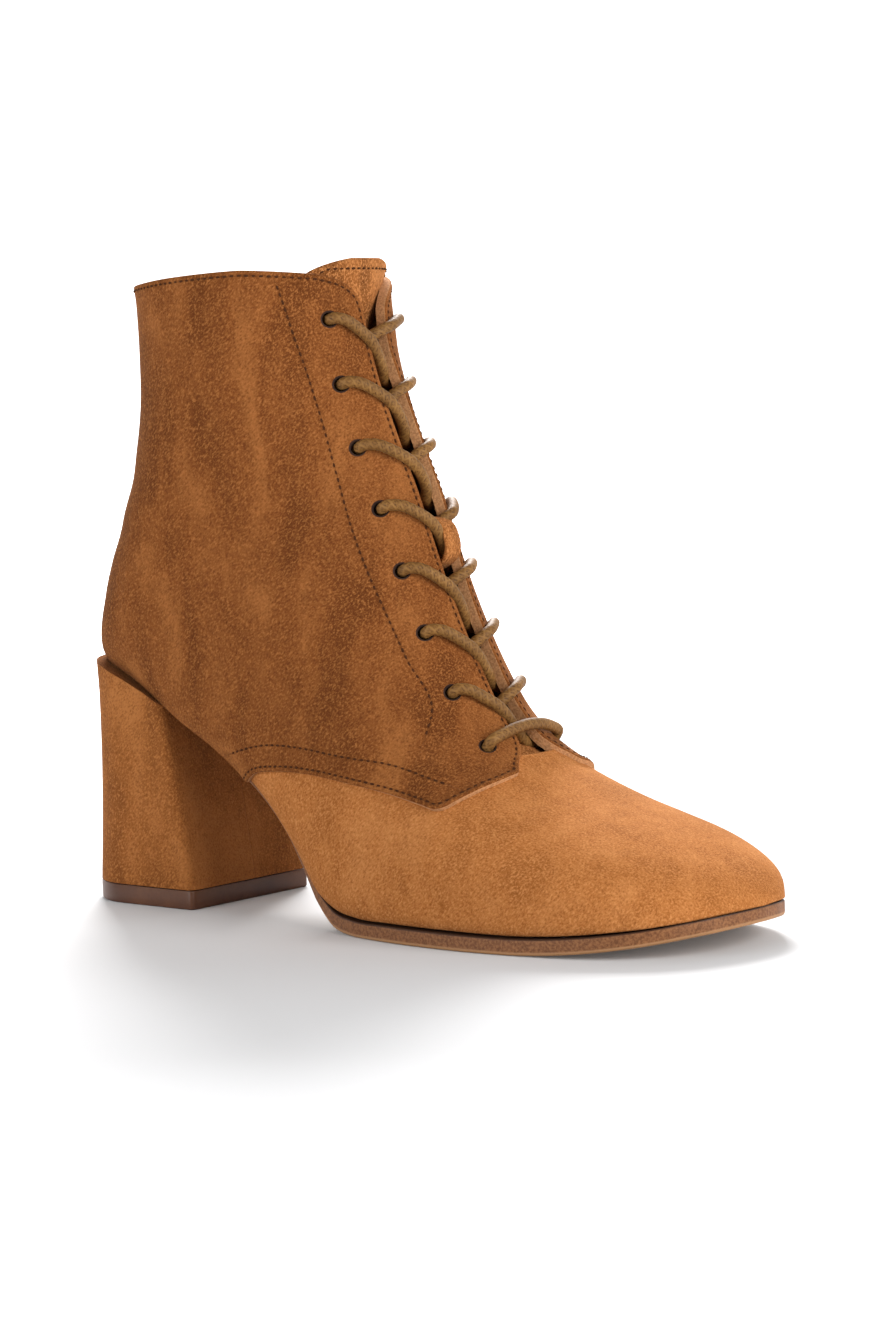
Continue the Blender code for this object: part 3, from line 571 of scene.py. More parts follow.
suedeLook = {
    "vamp": (0.330, 0.118, 0.031),
    "vampLight": (0.480, 0.200, 0.066),
    "vampDark": (0.165, 0.051, 0.011),
    "quarter": (0.152, 0.048, 0.012),
    "quarterLight": (0.285, 0.106, 0.030),
    "quarterDark": (0.062, 0.017, 0.004),
    "heel": (0.220, 0.075, 0.019),
    "heelLight": (0.350, 0.135, 0.040),
    "heelDark": (0.110, 0.033, 0.008),
    "tongue": (0.235, 0.081, 0.021),
    "rawEdge": (0.500, 0.250, 0.110),
    "rawEdgeDark": (0.330, 0.160, 0.070),
    "sheen": (1.0, 0.66, 0.38, 1.0),
    "napDepth": 0.00022,
    "patchDepth": 0.0003,
    "seamDepth": 0.00014,
}


def suede(name, colors, seams=(), upright=0.4, cloudy=1.0):
    base, light, dark = (suedeLook[key] for key in colors)
    s = Shader(name, base, 0.95, **{"Sheen Weight": 0.08, "Sheen Roughness": 0.4,
                                    "Sheen Tint": suedeLook["sheen"], "Specular IOR Level": 0.04})
    cloud = s.noise(62.0, 3.0, 0.5, (1.0, 1.0, upright), 0.4)
    patch = s.noise(190.0, 3.0, 0.55, (1.0, 1.0, 0.6), 0.3)
    nap = s.noise(1900.0, 3.0, 0.6, (1.0, 1.0, 0.55), turn=-0.8)
    grain = s.noise(3400.0, 1.0, 0.5)
    # each seam line gets painted shade in its groove, beside the groove bump below
    lines = [(s.math("ABSOLUTE", s.math("SUBTRACT", s.field(field), place)), width)
             for field, place, width in seams]
    s.shades(
        base,
        (cloud, 0.34, 0.52, 0.60 * cloudy, 0.0, dark),
        (cloud, 0.50, 0.68, 0.0, 0.55 * cloudy, light),
        (patch, 0.30, 0.50, 0.22, 0.0, dark),
        (patch, 0.50, 0.72, 0.0, 0.18, light),
        (nap, 0.30, 0.50, 0.62, 0.0, dark),
        (nap, 0.48, 0.68, 0.0, 0.85, light),
        (grain, 0.45, 0.75, 0.0, 0.30, light),
        # painted shade in the seam grooves
        *((away, 0.2 * width, width, 0.22, 0.0, dark) for away, width in lines),
    )
    s.bump(
        (nap, suedeLook["napDepth"]),
        (grain, 0.5 * suedeLook["napDepth"]),
        (patch, suedeLook["patchDepth"]),
        *((s.ramp(away, 0.0, width), suedeLook["seamDepth"]) for away, width in lines),
    )
    return s.material


def rawEdge():
    s = Shader("suedeCutEdge", suedeLook["rawEdge"], 0.95, **{"Specular IOR Level": 0.1})
    fibre = s.noise(1600.0, 2.0, 0.6)
    s.shades(suedeLook["rawEdgeDark"], (fibre, 0.35, 0.65, 0.0, 1.0, suedeLook["rawEdge"]))
    s.bump((fibre, 0.0002))
    return s.material


def leather(name, base, dark, roughness, scale=420.0, depth=0.0001, coat=0.0):
    s = Shader(name, base, roughness, **{"Coat Weight": coat, "Coat Roughness": 0.25,
                                         "Specular IOR Level": 0.25})
    pores = s.noise(scale, 3.0, 0.6)
    stain = s.noise(40.0, 3.0, 0.5)
    s.shades(dark, (stain, 0.35, 0.65, 0.0, 1.0, base), (pores, 0.35, 0.6, 0.35, 0.0, dark))
    s.bump((pores, depth))
    return s.material


# field of a seam, its distance from that field's zero, its width; along each, suede() sinks a
# groove and paints shade in it
quarterSeams = (("edge", 0.0015, 0.0005), ("stayRow", 0.0, 0.0004), ("lowRow", 0.0, 0.0004),
                ("backSeam", 0.0, 0.0005))
heelSeams = (("breastSeam", 0.0, 0.0005),)
quarterSuede = suede("quarterSuede", ("quarter", "quarterLight", "quarterDark"), quarterSeams)
vampSuede = suede("vampSuede", ("vamp", "vampLight", "vampDark"), upright=0.9, cloudy=0.55)
tongueSuede = suede("tongueSuede", ("tongue", "vampLight", "quarterDark"))
heelSuede = suede("heelSuede", ("heel", "heelLight", "heelDark"), heelSeams)
cutEdge = rawEdge()
liningLeather = leather("liningLeather", (0.220, 0.115, 0.055), (0.150, 0.074, 0.033), 0.6)
# eyeletShade: near-black paint on the cut walls inside the eyelet holes, painted shade
eyeletShade = leather("eyeletShade", (0.030, 0.012, 0.006), (0.020, 0.008, 0.004), 0.9)
insoleLeather = leather("insoleLeather", (0.42, 0.24, 0.12), (0.30, 0.16, 0.08), 0.55)
print("suede and leather mixed")

# upper: quarters, vamp and lining
upperCut = {
    "firstRow": 6.6,  # section at which the quarters' grid starts
    "rows": 400,  # grid steps from toe to collar
    "columns": 135,  # grid steps round each side
    "lip": 0.0006,  # rounding of a cut edge
    "lipEnd": 0.00001,  # short step that keeps the lip's lower edge crisp
    "stitchInset": 0.0015,
    "rowInset": 0.0028,  # how near to an edge the second rows may come
    "underlap": 0.009,  # vamp under the quarters
    "edgeLift": 0.00035,
    "edgeLiftReach": 0.003,
    "holeRim": 0.0016,  # width of the rim in an eyelet that is painted dark as shade
    "backSeamFoot": 0.075,
}
vampCut = {"lastRow": 15.0, "rows": 260, "columns": 150}
liningCut = {"rows": 230, "columns": 90}

# second stitch rows in the side view: the eyelet stay's, and the one above the quarters' edge
stitchRows = {
    "stayRow": {
        "points": ((0.0655, 0.1831), (0.0702, 0.1644), (0.0761, 0.1446), (0.0822, 0.1249),
                   (0.0944, 0.0970), (0.1054, 0.0768), (0.1146, 0.0615), (0.1149, 0.0561)),
        "x": (0.06, 0.2),
        "z": (0.0565, 0.1825),
    },
    "lowRow": {
        "points": ((0.0460, 0.0485), (0.0540, 0.0505), (0.0620, 0.0519), (0.0710, 0.0521),
                   (0.0800, 0.0515), (0.0880, 0.0505), (0.0955, 0.0496), (0.1070, 0.0483),
                   (0.1130, 0.0468), (0.1190, 0.0450), (0.1260, 0.0430)),
        "x": (0.0475, 0.125),
        "z": (0.0, 0.07),
    },
}

# soft troughs and swells: x, side (0 is both), z, reach, height, depth
creaseMarks = (
    (-0.010, 0, 0.128, 0.020, 0.006, -0.0007), (-0.012, 0, 0.112, 0.022, 0.005, -0.0005),
    (0.040, -1, 0.122, 0.030, 0.010, -0.0006), (0.060, -1, 0.085, 0.022, 0.014, 0.0005),
    (0.030, 1, 0.122, 0.030, 0.010, -0.0006), (0.052, 0, 0.150, 0.026, 0.018, 0.0004),
)


def denseRows(low, high, count):  # rows at even steps along the middle of the side
    fine = np.linspace(low, high, 800)
    a = formSurface(fine, np.full(800, -pi / 2))
    b = formSurface(fine, np.full(800, pi))
    step = [np.linalg.norm(np.diff(line, axis=0), axis=1) for line in (a, b)]
    run = np.concatenate([[0], np.cumsum(np.maximum(*step))])
    return np.interp(np.linspace(0, run[-1], count), run, fine)


def creases(p):
    out = np.zeros(len(p))
    for x, side, z, reach, height, depth in creaseMarks:
        near = np.exp(-((p[:, 0] - x) / reach) ** 2 - ((p[:, 2] - z) / height) ** 2)
        if side:
            near = near * (np.sign(p[:, 1]) == side) * np.clip(np.abs(p[:, 1]) / 0.015, 0, 1)
        out += depth * near
    return out


def edgeSwell(distance):  # the leather rises a little toward its cut edge
    return upperCut["edgeLift"] * np.exp(-(distance / upperCut["edgeLiftReach"]) ** 2)


def rimProfile(turns, *depths):  # rounded lip, then straight down to each depth
    lip = upperCut["lip"]
    bend = np.linspace(pi / 2 / turns, pi / 2, turns)
    rounded = [(lip * sin(t), lip * (1 - cos(t))) for t in bend]
    return rounded + [(lip, depth) for depth in (lip + upperCut["lipEnd"], *depths)]


# places on the front, by section row and sideways distance
def angleAt(row, y):
    sweep = np.linspace(0.55 * pi, pi, 160)
    middle = formSurface(np.array([row]), np.array([pi]))[0][1]
    side = -1.0 if y < middle else 1.0
    reach = formSurface(np.full(sweep.size, row), side * sweep)[:, 1]
    order = np.argsort(reach)
    return np.interp(y, reach[order], (side * sweep)[order])


def frontPoint(row, y, lift):
    angle = np.array([angleAt(row, y)])
    return formPoints(np.array([row]), angle, np.array([boot["overlay"] + lift]))[0]


keeperCut = {
    "crossing": 4,  # the lace crossing that the strap lies over
    "width": 0.0054,
    "thickness": 0.0011,
    "height": 0.0010,
    "reach": 0.0062,
    "down": 0.72,
    "laceDown": 0.17,  # how far the level strand is drawn down under the strap, in rows
    "laceDip": 0.0011,
}
lacing = {
    "rows": 8,
    "inset": 0.0108,
    "outerPlace": -0.0134,
    "start": 0.0030,
    "end": 0.0142,
    "eyeletRadius": 0.00195,
    "cordRadius": 0.0017,
    "press": 0.0001,  # how far the cord sinks into the suede
    "pathStep": 0.00034,
    "around": 24,
    "strands": 3,
    "braidDepth": 0.00016,
    "braidPitch": 0.0046,
    # dark also paints shade in the braid's grooves, light a highlight on its crests
    "color": (0.160, 0.072, 0.017),
    "dark": (0.055, 0.023, 0.006),
    "light": (0.255, 0.128, 0.036),
}
innerFace = -boot["overlay"] - boot["wall"]  # the lining's face, below the flaps' face
laceUnder = innerFace - lacing["cordRadius"] - boot["gap"]


def eyeletRows():
    rows = np.linspace(8.5, 22.5, 281)
    line = np.array([frontPoint(row, lacing["outerPlace"], 0.0) for row in rows])
    run = runAlong(line)
    first = np.interp(throatFloor + lacing["start"], line[:, 2], run)
    last = np.interp(collarTop - lacing["end"], line[:, 2], run)
    return np.interp(np.linspace(first, last, lacing["rows"]), run, rows)


eyelets = eyeletRows()


def eyeletY(row, side):
    z = formSurface(np.array([row]), np.array([pi]))[0][2]
    _, inner = flapEdges(np.clip(z, throatFloor + 2 * lacing["start"], collarTop - lacing["end"]))
    return lacing["outerPlace"] if side < 0 else inner + lacing["inset"]


eyeletCentres = np.array([
    frontPoint(row, eyeletY(row, side), -boot["overlay"]) for row in eyelets for side in (-1, 1)
])


def awayFromEyelets(points):
    flat = points.reshape(-1, 3)
    best = np.full(len(flat), np.inf)
    for centre in eyeletCentres:
        best = np.minimum(best, np.linalg.norm(flat - centre, axis=1))
    return best.reshape(points.shape[:-1]) - lacing["eyeletRadius"]


def rowDistance(grid, knots):  # signed distance from a row that is drawn in the side view
    side = grid["p"].reshape(-1, 3)[:, [0, 2]]
    line = curvePoints(knots, 60)
    best, sign = np.full(len(side), np.inf), np.ones(len(side))
    for p, q in zip(line[:-1], line[1:]):
        d = q - p
        t = np.clip(((side - p) @ d) / (d @ d), 0, 1)
        away = side - p - t[:, None] * d
        size = (away**2).sum(1)
        turn = np.sign(d[0] * away[:, 1] - d[1] * away[:, 0])
        near = size < best
        best[near], sign[near] = size[near], turn[near]
    return trueDistance(grid, (np.sqrt(best) * sign).reshape(grid["row"].shape))


def goodStretches(points, good, least=5):  # stretches of a line whose points are all good
    start = None
    for i, isGood in enumerate([*good, False]):
        if isGood and start is None:
            start = i
        if not isGood and start is not None:
            if i - start >= least:
                yield points[start:i]
            start = None


def stitchRuns(grid, edge, field, level, row=None):  # where a row of stitches lies on the quarters
    found, _, lineEdges = clipGrid(field - level, {"p": grid["p"], "n": grid["n"], "edge": edge})
    runs = []
    for chain in chains(lineEdges):
        p, n, inset = (found[key][chain] for key in ("p", "n", "edge"))
        if row:
            good = inset[:, 0] > upperCut["rowInset"]
            for axis, (low, high) in ((0, row["x"]), (2, row["z"])):
                good &= (p[:, axis] > low) & (p[:, axis] < high)
        else:
            good = np.abs(inset[:, 0] - level) < 0.0003
        lift = boot["overlay"] + creases(p)[:, None] + edgeSwell(inset)
        runs += goodStretches(p + unit(n) * lift, good)
    return runs


def flatFaces(*parts):
    return [face for part in parts for face in part.tolist()]


def buildQuarters():
    rows = denseRows(upperCut["firstRow"], lastRow, upperCut["rows"])
    grid = makeGrid(rows, upperCut["columns"], False)
    fields = regionFields(grid, throatZ[0])
    edge = np.minimum(np.minimum(fields["side"], fields["gap"]), fields["collar"])
    keep = np.minimum(edge, fields["sole"])
    punched = np.minimum(keep, awayFromEyelets(grid["p"]))
    seams = {name: rowDistance(grid, row["points"]) for name, row in stitchRows.items()}
    atBack = (np.abs(grid["angle"]) < 0.8) & (grid["p"][..., 2] > upperCut["backSeamFoot"])
    seams["backSeam"] = np.where(atBack, grid["p"][..., 1], farAway)
    carried = {"p": grid["p"], "n": grid["n"], "slope": slopeOf(grid, punched), "edge": edge}
    table, faces, edges = clipGrid(punched - upperCut["lip"], {**carried, **seams})
    offset = boot["overlay"] + creases(table["p"]) + edgeSwell(table["edge"][:, 0])
    depth = boot["overlay"] + boot["wall"] + upperCut["edgeLift"]
    ring, strips, owners = rimStrips(table, edges, offset, rimProfile(4, depth * 0.5, depth))
    points = np.concatenate([table["p"] + unit(table["n"]) * offset[:, None], ring])
    away = awayFromEyelets(points)
    slots = [np.zeros(len(faces), int)]
    for i, strip in enumerate(strips):  # the lip's first strips are still suede
        # cut walls next to an eyelet get eyeletShade, painted shade inside the hole
        slots.append(np.where(away[strip].min(1) < upperCut["holeRim"], 2, int(i >= 3)))
    values = {"edge": np.concatenate([table["edge"][:, 0], np.zeros(len(owners))])}
    for key in seams:
        values[key] = np.concatenate([table[key][:, 0], table[key][owners, 0]])
    upper = makeMesh("quarters", points, flatFaces(faces, *strips),
                     [quarterSuede, cutEdge, eyeletShade], np.concatenate(slots), values)
    runs = stitchRuns(grid, edge, keep, upperCut["stitchInset"])
    for name, row in stitchRows.items():
        runs += stitchRuns(grid, edge, seams[name], 0.0, row)
    return upper, runs


def buildVamp():
    grid = makeGrid(denseRows(0.0, vampCut["lastRow"], vampCut["rows"]), vampCut["columns"], True)
    fields = regionFields(grid, throatFloor)
    inside = np.minimum(fields["side"], fields["gap"])
    keep = np.minimum(fields["sole"], upperCut["underlap"] - inside)
    keep = np.minimum(keep, fields["gap"])
    carried = {"p": grid["p"], "n": grid["n"], "slope": slopeOf(grid, keep), "edge": fields["gap"]}
    table, faces, edges = clipGrid(keep - upperCut["lip"], carried)
    level = np.zeros(len(table["p"]))
    ring, strips, owners = rimStrips(table, edges, level, rimProfile(3, boot["wall"]))
    points = np.concatenate([table["p"], ring])
    slots = [np.full(len(strip), int(i >= 3)) for i, strip in enumerate(strips)]
    slots = np.concatenate([np.zeros(len(faces), int), *slots])
    values = {"edge": np.concatenate([table["edge"][:, 0], np.zeros(len(owners))])}
    return makeMesh("vamp", points, flatFaces(faces, *strips), [vampSuede, cutEdge],
                    slots, values, merge=1e-6)


def buildLining():
    grid = makeGrid(denseRows(0.0, lastRow, liningCut["rows"]), liningCut["columns"], True)
    fields = regionFields(grid, throatFloor)
    keep = np.minimum(np.minimum(fields["sole"], fields["gap"]), fields["collar"])
    keep = np.minimum(keep, awayFromEyelets(grid["p"]))
    table, faces, _ = clipGrid(keep, {"p": grid["p"], "n": grid["n"]})
    points = table["p"] - unit(table["n"]) * boot["wall"]
    return makeMesh("lining", points, faces[:, ::-1].tolist(), [liningLeather], merge=1e-6)


quarters, stitchLines = buildQuarters()
vamp = buildVamp()
lining = buildLining()
for piece, slotName in ((quarters, "suede"), (vamp, "suede"), (lining, "lining")):
    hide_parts("upper")
    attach(piece, "root")
print("upper cut and lasted", len(quarters.data.polygons), len(stitchLines))


def splinePath(knots, step):
    knots = np.array(knots)
    run = runAlong(knots)
    out = []
    for x in np.arange(0, run[-1], step):
        i = min(max(int(np.searchsorted(run, x)) - 1, 0), len(knots) - 2)
        t = (x - run[i]) / (run[i + 1] - run[i])
        a, b = knots[max(i - 1, 0)], knots[i]
        c, d = knots[i + 1], knots[min(i + 2, len(knots) - 1)]
        bend = (2 * a - 5 * b + 4 * c - d) * t**2
        out.append(0.5 * (2 * b + (c - a) * t + bend + (3 * b - a - 3 * c + d) * t**3))
    return np.array(out)


def crossingKnots(number, side):  # from the eyelet below, across the gap, in through this eyelet
    row, below = eyelets[number], eyelets[number - 1]
    middle = boot["throatMiddle"]
    under, over = laceUnder, lacing["cordRadius"] - lacing["press"]
    reach = abs(eyeletY(row, side) - middle)
    otherReach = abs(eyeletY(below, -side) - middle)
    # across (negative is the other side), share of the way down, lift
    if side < 0:  # runs down the gap, over the other lace
        inGap = (
            (-1.00, 1.00, under), (-0.76, 1.00, under), (-0.50, 1.00, under),
            (-0.32, 0.99, under), (-0.18, 0.96, -0.0042), (-0.06, 0.90, -0.0028),
            (0.06, 0.81, -0.0016), (0.16, 0.71, -0.0005), (0.27, 0.59, over * 0.45),
            (0.39, 0.45, over * 0.95), (0.56, 0.27, over), (0.74, 0.10, over),
        )
    else:  # lies nearly level
        inGap = (
            (-1.00, 1.00, under), (-0.76, 0.86, under), (-0.50, 0.68, under),
            (-0.32, 0.54, under), (-0.18, 0.44, -0.0040), (-0.06, 0.37, -0.0026),
            (0.06, 0.32, -0.0010), (0.16, 0.28, 0.0003), (0.26, 0.24, over * 0.8),
            (0.38, 0.19, over), (0.56, 0.11, over), (0.74, 0.04, over),
        )
        if number == keeperCut["crossing"]:
            inGap = [(a, share + keeperCut["laceDown"] * max(0.0, 1.0 - abs(a) / 0.75),
                      lift - (keeperCut["laceDip"] if abs(a) < 0.2 else 0.0))
                     for a, share, lift in inGap]
    atHole = ((0.90, 0.01, over * 0.62), (0.975, 0.00, -0.0006), (0.975, 0.00, innerFace * 0.8))
    points = []
    for across, share, lift in (*inGap, *atHole):
        y = middle + side * across * (reach if across > 0 else otherReach)
        points.append(frontPoint(row + (below - row) * share, y, lift))
    return points


def lacePath():
    row = eyelets[0]
    over = lacing["cordRadius"] + boot["gap"]
    outer, inner = (eyeletY(row, side) for side in (-1, 1))
    bar = [frontPoint(row, outer, innerFace * 0.7), frontPoint(row, outer + 0.0002, -0.0004)]
    for share in (0.04, 0.16, 0.30, 0.44, 0.56, 0.70, 0.84, 0.96):
        bulge = sin(pi * share)
        y = outer + (inner - outer) * share
        bar.append(frontPoint(row + 0.10 * bulge, y, over * (0.8 + 0.35 * bulge)))
    bar += [frontPoint(row, inner - 0.0002, -0.0004), frontPoint(row, inner, innerFace * 0.7)]
    strands = []
    for first in (1, -1):  # side of the first crossing's own eyelet
        points, side = [], first
        for number in range(1, lacing["rows"]):
            points += crossingKnots(number, side)
            side = -side
        top = eyelets[-1]
        y = eyeletY(top, -side)
        points.append(frontPoint(top + 0.05, y, laceUnder))
        points.append(frontPoint(top - 0.15, y + side * 0.002, laceUnder - 0.0002))
        strands.append(points)
    return strands[0][::-1] + bar + strands[1]


def braidedTube(name, path, radius, material):
    count, around, strands = len(path), lacing["around"], lacing["strands"]
    tangent = unit(np.gradient(path, axis=0))
    normals = []
    n = unit(np.cross(tangent[0], (0.3, 0.1, 1.0)))
    for t in tangent:
        n = n - t * (n @ t)
        n = n / np.linalg.norm(n)
        normals.append(n)
    normals = np.array(normals)[:, None]
    binormals = np.cross(tangent[:, None], normals)
    turn, run = np.meshgrid(np.linspace(0, 2 * pi, around, endpoint=False), runAlong(path))
    twist = 4 * pi * run / lacing["braidPitch"]
    right, left = np.cos(strands * turn + twist), np.cos(strands * turn - twist)
    rightOver = np.cos(strands * turn) * np.cos(twist) > 0
    weave = np.where(rightOver, np.abs(right), np.abs(left)) ** 0.6
    size = radius * 0.94 + lacing["braidDepth"] * (weave - 0.4)
    aside, above = ((f(turn) * size)[..., None] for f in (np.cos, np.sin))
    points = path[:, None] + aside * normals + above * binormals
    ids = np.arange(count * around).reshape(count, around)
    after = np.roll(ids, -1, 1)
    faces = np.stack([ids[:-1], after[:-1], after[1:], ids[1:]], -1).reshape(-1, 4).tolist()
    faces += [ids[0][::-1].tolist(), ids[-1].tolist()]
    # weave is the braid's relief; the cord material turns it into painted shade and highlight
    values = {"weave": weave.ravel()}
    return makeMesh(name, points.reshape(-1, 3), faces, [material], values=values)


def cordMaterial():
    s = Shader("waxedCord", lacing["color"], 0.6, **{"Specular IOR Level": 0.18})
    fine = s.noise(1500.0, 2.0, 0.6)
    wide = s.noise(120.0, 2.0, 0.5)
    weave = s.field("weave")
    # the braid's relief paints shade darker in the grooves between strands and a painted highlight
    # on their crests; the wide noise is random darker tone
    s.shades(
        lacing["dark"],
        (weave, 0.15, 0.75, 0.0, 1.0, lacing["color"]),
        (weave, 0.7, 1.0, 0.0, 0.6, lacing["light"]),
        (fine, 0.45, 0.7, 0.0, 0.4, lacing["light"]),
        (wide, 0.4, 0.6, 0.3, 0.0, lacing["dark"]),
    )
    s.bump((fine, 0.0001))
    return s.material


laceLine = splinePath(lacePath(), lacing["pathStep"])
lace = braidedTube("lace", laceLine, lacing["cordRadius"], cordMaterial())
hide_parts("lace_bar", *[f"lace_crossing_{i}" for i in range(2, 9)])
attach(lace, "root")
print("lace threaded", len(lace.data.polygons))

# tongue: a pair of rows is where a change starts and the number of rows that it takes
tongueCut = {
    "halfWidth": 0.0215,
    "thickness": 0.0020,
    "sink": 0.0040,
    "sinkRows": (8.9, 2.2),
    "leanRows": (20.7, 1.3),  # above the lace the tongue leans on the flaps
    "lean": 0.0042,
    "tipRows": (21.9, 1.55),
    "shift": 0.0022,
    "shiftRows": (21.0, 2.4),
    "firstRow": 8.35,
    "flareRows": 4.0,
    "crownRows": (22.3, 0.92),  # the rounded top
    "stitchInset": 0.0021,
    "hemRows": 70,
}


def shell(name, outer, inner, materials):  # closed sheet with a rounded rim between two grids
    rows, columns = outer.shape[:2]
    ids, faces = gridQuads(rows, columns)
    back = faces[:, [0, 3, 2, 1]] + ids.size
    loop = np.concatenate([ids[0, :], ids[1:, -1], ids[-1, -2::-1], ids[-2:0:-1, 0]])
    points = [outer.reshape(-1, 3), inner.reshape(-1, 3)]
    count = 2 * ids.size
    top, bottom = points[0][loop], points[1][loop]
    middle, half = (top + bottom) / 2, (top - bottom) / 2
    inward = top - outer[rows // 2, columns // 2]
    along = unit(np.roll(top, -1, 0) - np.roll(top, 1, 0))
    outward = unit(np.cross(along, unit(half)))
    outward *= np.sign((outward * inward).sum(-1, keepdims=True))
    size = np.linalg.norm(half, axis=-1, keepdims=True)
    strips, rims = [], [loop]
    for turn in np.linspace(0, pi, 8)[1:-1]:
        points.append(middle + half * cos(turn) + outward * size * sin(turn))
        rims.append(count + np.arange(len(loop)))
        count += len(loop)
    rims.append(loop + ids.size)
    for rim, after in zip(rims[:-1], rims[1:]):
        strips.append(np.stack([rim, after, np.roll(after, -1), np.roll(rim, -1)], -1))
    obj = makeMesh(name, np.concatenate(points), flatFaces(faces, back, *strips), materials)
    turnOutward(obj.data)
    return obj


def risen(row, start, reach):  # rows past a start, as a share of a reach
    return max(0.0, (row - start) / reach)


def buildTongue():
    crown, crownRows = tongueCut["crownRows"]
    rounded = crown + crownRows * np.sin(np.linspace(0.04, 1, 40) * pi / 2)
    rows = np.concatenate([np.linspace(tongueCut["firstRow"], crown, 150), rounded])
    across = np.linspace(-1, 1, 41)
    centre = len(across) // 2
    drops, angles = [], []
    for row in rows:
        free = min(1.0, risen(row, *tongueCut["leanRows"]))
        sunk = min(1.0, risen(row, *tongueCut["sinkRows"])) - 0.9 * free**2 * (3 - 2 * free)
        lean = tongueCut["lean"] * risen(row, *tongueCut["tipRows"]) ** 1.3
        drop = boot["wall"] + boot["gap"] + 0.0001 + (tongueCut["sink"] * sunk - lean)
        low = 0.86 + 0.14 * min(1.0, (row - rows[0]) / tongueCut["flareRows"])
        top = (1 - 0.90 * risen(row, crown, crownRows) ** 3) ** 0.5
        half = tongueCut["halfWidth"] * low * top
        shift = tongueCut["shift"] * risen(row, *tongueCut["shiftRows"]) ** 2
        angles.append([angleAt(row, boot["throatMiddle"] + shift + half * a) for a in across])
        drops.append([drop] * len(across))
    angles, drops = np.array(angles), np.array(drops)
    rr = np.repeat(rows[:, None], len(across), 1)
    outer = formPoints(rr, angles, -drops)
    inner = formPoints(rr, angles, -drops - tongueCut["thickness"])
    side = int(round(tongueCut["stitchInset"] / tongueCut["halfWidth"] * centre))
    run = np.cumsum(np.linalg.norm(np.diff(outer[::-1, centre], axis=0), axis=1))
    last = len(rows) - 2 - int(np.searchsorted(run, tongueCut["stitchInset"]))
    first = -tongueCut["hemRows"]
    sides = [outer[first:last, column] for column in (side, -side - 1)]
    hem = np.vstack([sides[0], outer[last, side + 1:-side - 1], sides[1][::-1]])
    return shell("tongueLeather", outer, inner, [tongueSuede]), hem + (0.0001, 0.0, 0.0)


tongue, tongueHem = buildTongue()
stitchLines.append(tongueHem)
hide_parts("tongue")
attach(tongue, "root")


def buildKeeper():
    row, below = eyelets[keeperCut["crossing"]], eyelets[keeperCut["crossing"] - 1]
    a, b = (frontPoint(r, boot["throatMiddle"], 0.0) for r in (row, below))
    pitch = np.linalg.norm(b - a)
    foot = innerFace - tongueCut["sink"] - boot["gap"]
    sides = boot["throatMiddle"] + np.linspace(-0.5, 0.5, 9) * keeperCut["width"]
    faces = []
    for swell in (keeperCut["thickness"], 0.0):
        reach = keeperCut["reach"] + swell
        rise = keeperCut["height"] - foot + swell
        grid = []
        for turn in np.linspace(0.0, pi, 41):
            along = -np.sign(cos(turn)) * abs(cos(turn)) ** 0.75
            station = row + (below - row) * (keeperCut["down"] + along * reach / pitch)
            lift = foot + rise * abs(sin(turn)) ** 0.75
            grid.append([frontPoint(station, y, lift) for y in sides])
        faces.append(np.array(grid))
    return shell("keeperStrap", *faces, [tongueSuede])


keeper = buildKeeper()
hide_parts("tongue_loop")
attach(keeper, "root")
print("tongue and keeper set")

# heel and sole
heelCut = {
    "corner": 0.0028,
    "levels": 60,
    "round": 56,  # points round the back
    "straight": 10,  # points along each side and the breast
    "swell": 0.0012,
    "topBack": 0.027,  # share of the length
    "topFrontInset": 0.0035,
    "topHalf": 0.356,  # share of the ball's width
    "seamPlace": 0.0020,
}
# top lift: its outline's scale at each height
liftRings = ((0.985, 0.0), (0.998, 0.0003), (1.0, 0.0008), (1.0, 0.0052), (0.995, boot["topLift"]))
liftMiddle = np.array((0.002, 0.0))


def heelPlan(back, front, halfWidth, corner):
    length = min(0.8 * halfWidth, 0.6 * (front - back))
    turns = np.linspace(-pi / 2, pi / 2, heelCut["round"])
    s = np.sin(turns)
    wide = halfWidth * np.sign(s) * np.abs(s) ** 0.85
    arc = np.stack([back + length * (1 - np.cos(turns)), wide], 1)
    bend = np.linspace(0, pi / 2, 8)
    rounded = corner * (1 - np.stack([np.sin(bend), np.cos(bend)], 1))
    inner = np.array((front, halfWidth)) - rounded
    steps = heelCut["straight"] + 2
    side = np.linspace(arc[-1], inner[0], steps)[1:-1]
    breast = np.linspace(inner[-1], inner[-1] * (1, -1), steps)[1:-1]
    half = np.vstack([side, inner])
    plan = np.vstack([arc, half, breast, (half * (1, -1))[::-1]])
    plan[:, 0] -= restCentre
    return plan


def ringMesh(name, rings, materials):  # skin over a row of rings, closed at both ends
    rings = np.array(rings)
    count, around = rings.shape[:2]
    ids = np.arange(count * around).reshape(count, around)
    after = np.roll(ids, -1, 1)
    faces = np.stack([ids[:-1], after[:-1], after[1:], ids[1:]], -1).reshape(-1, 4).tolist()
    faces += [ids[0][::-1].tolist(), ids[-1].tolist()]
    obj = makeMesh(name, rings.reshape(-1, 3), faces, materials)
    turnOutward(obj.data)
    obj.data.set_sharp_from_angle(angle=0.7)
    return obj


restFront = boot["restBack"] + boot["restLength"]
heelRest = np.array((boot["restBack"], restFront, boot["restWidth"] / 2))


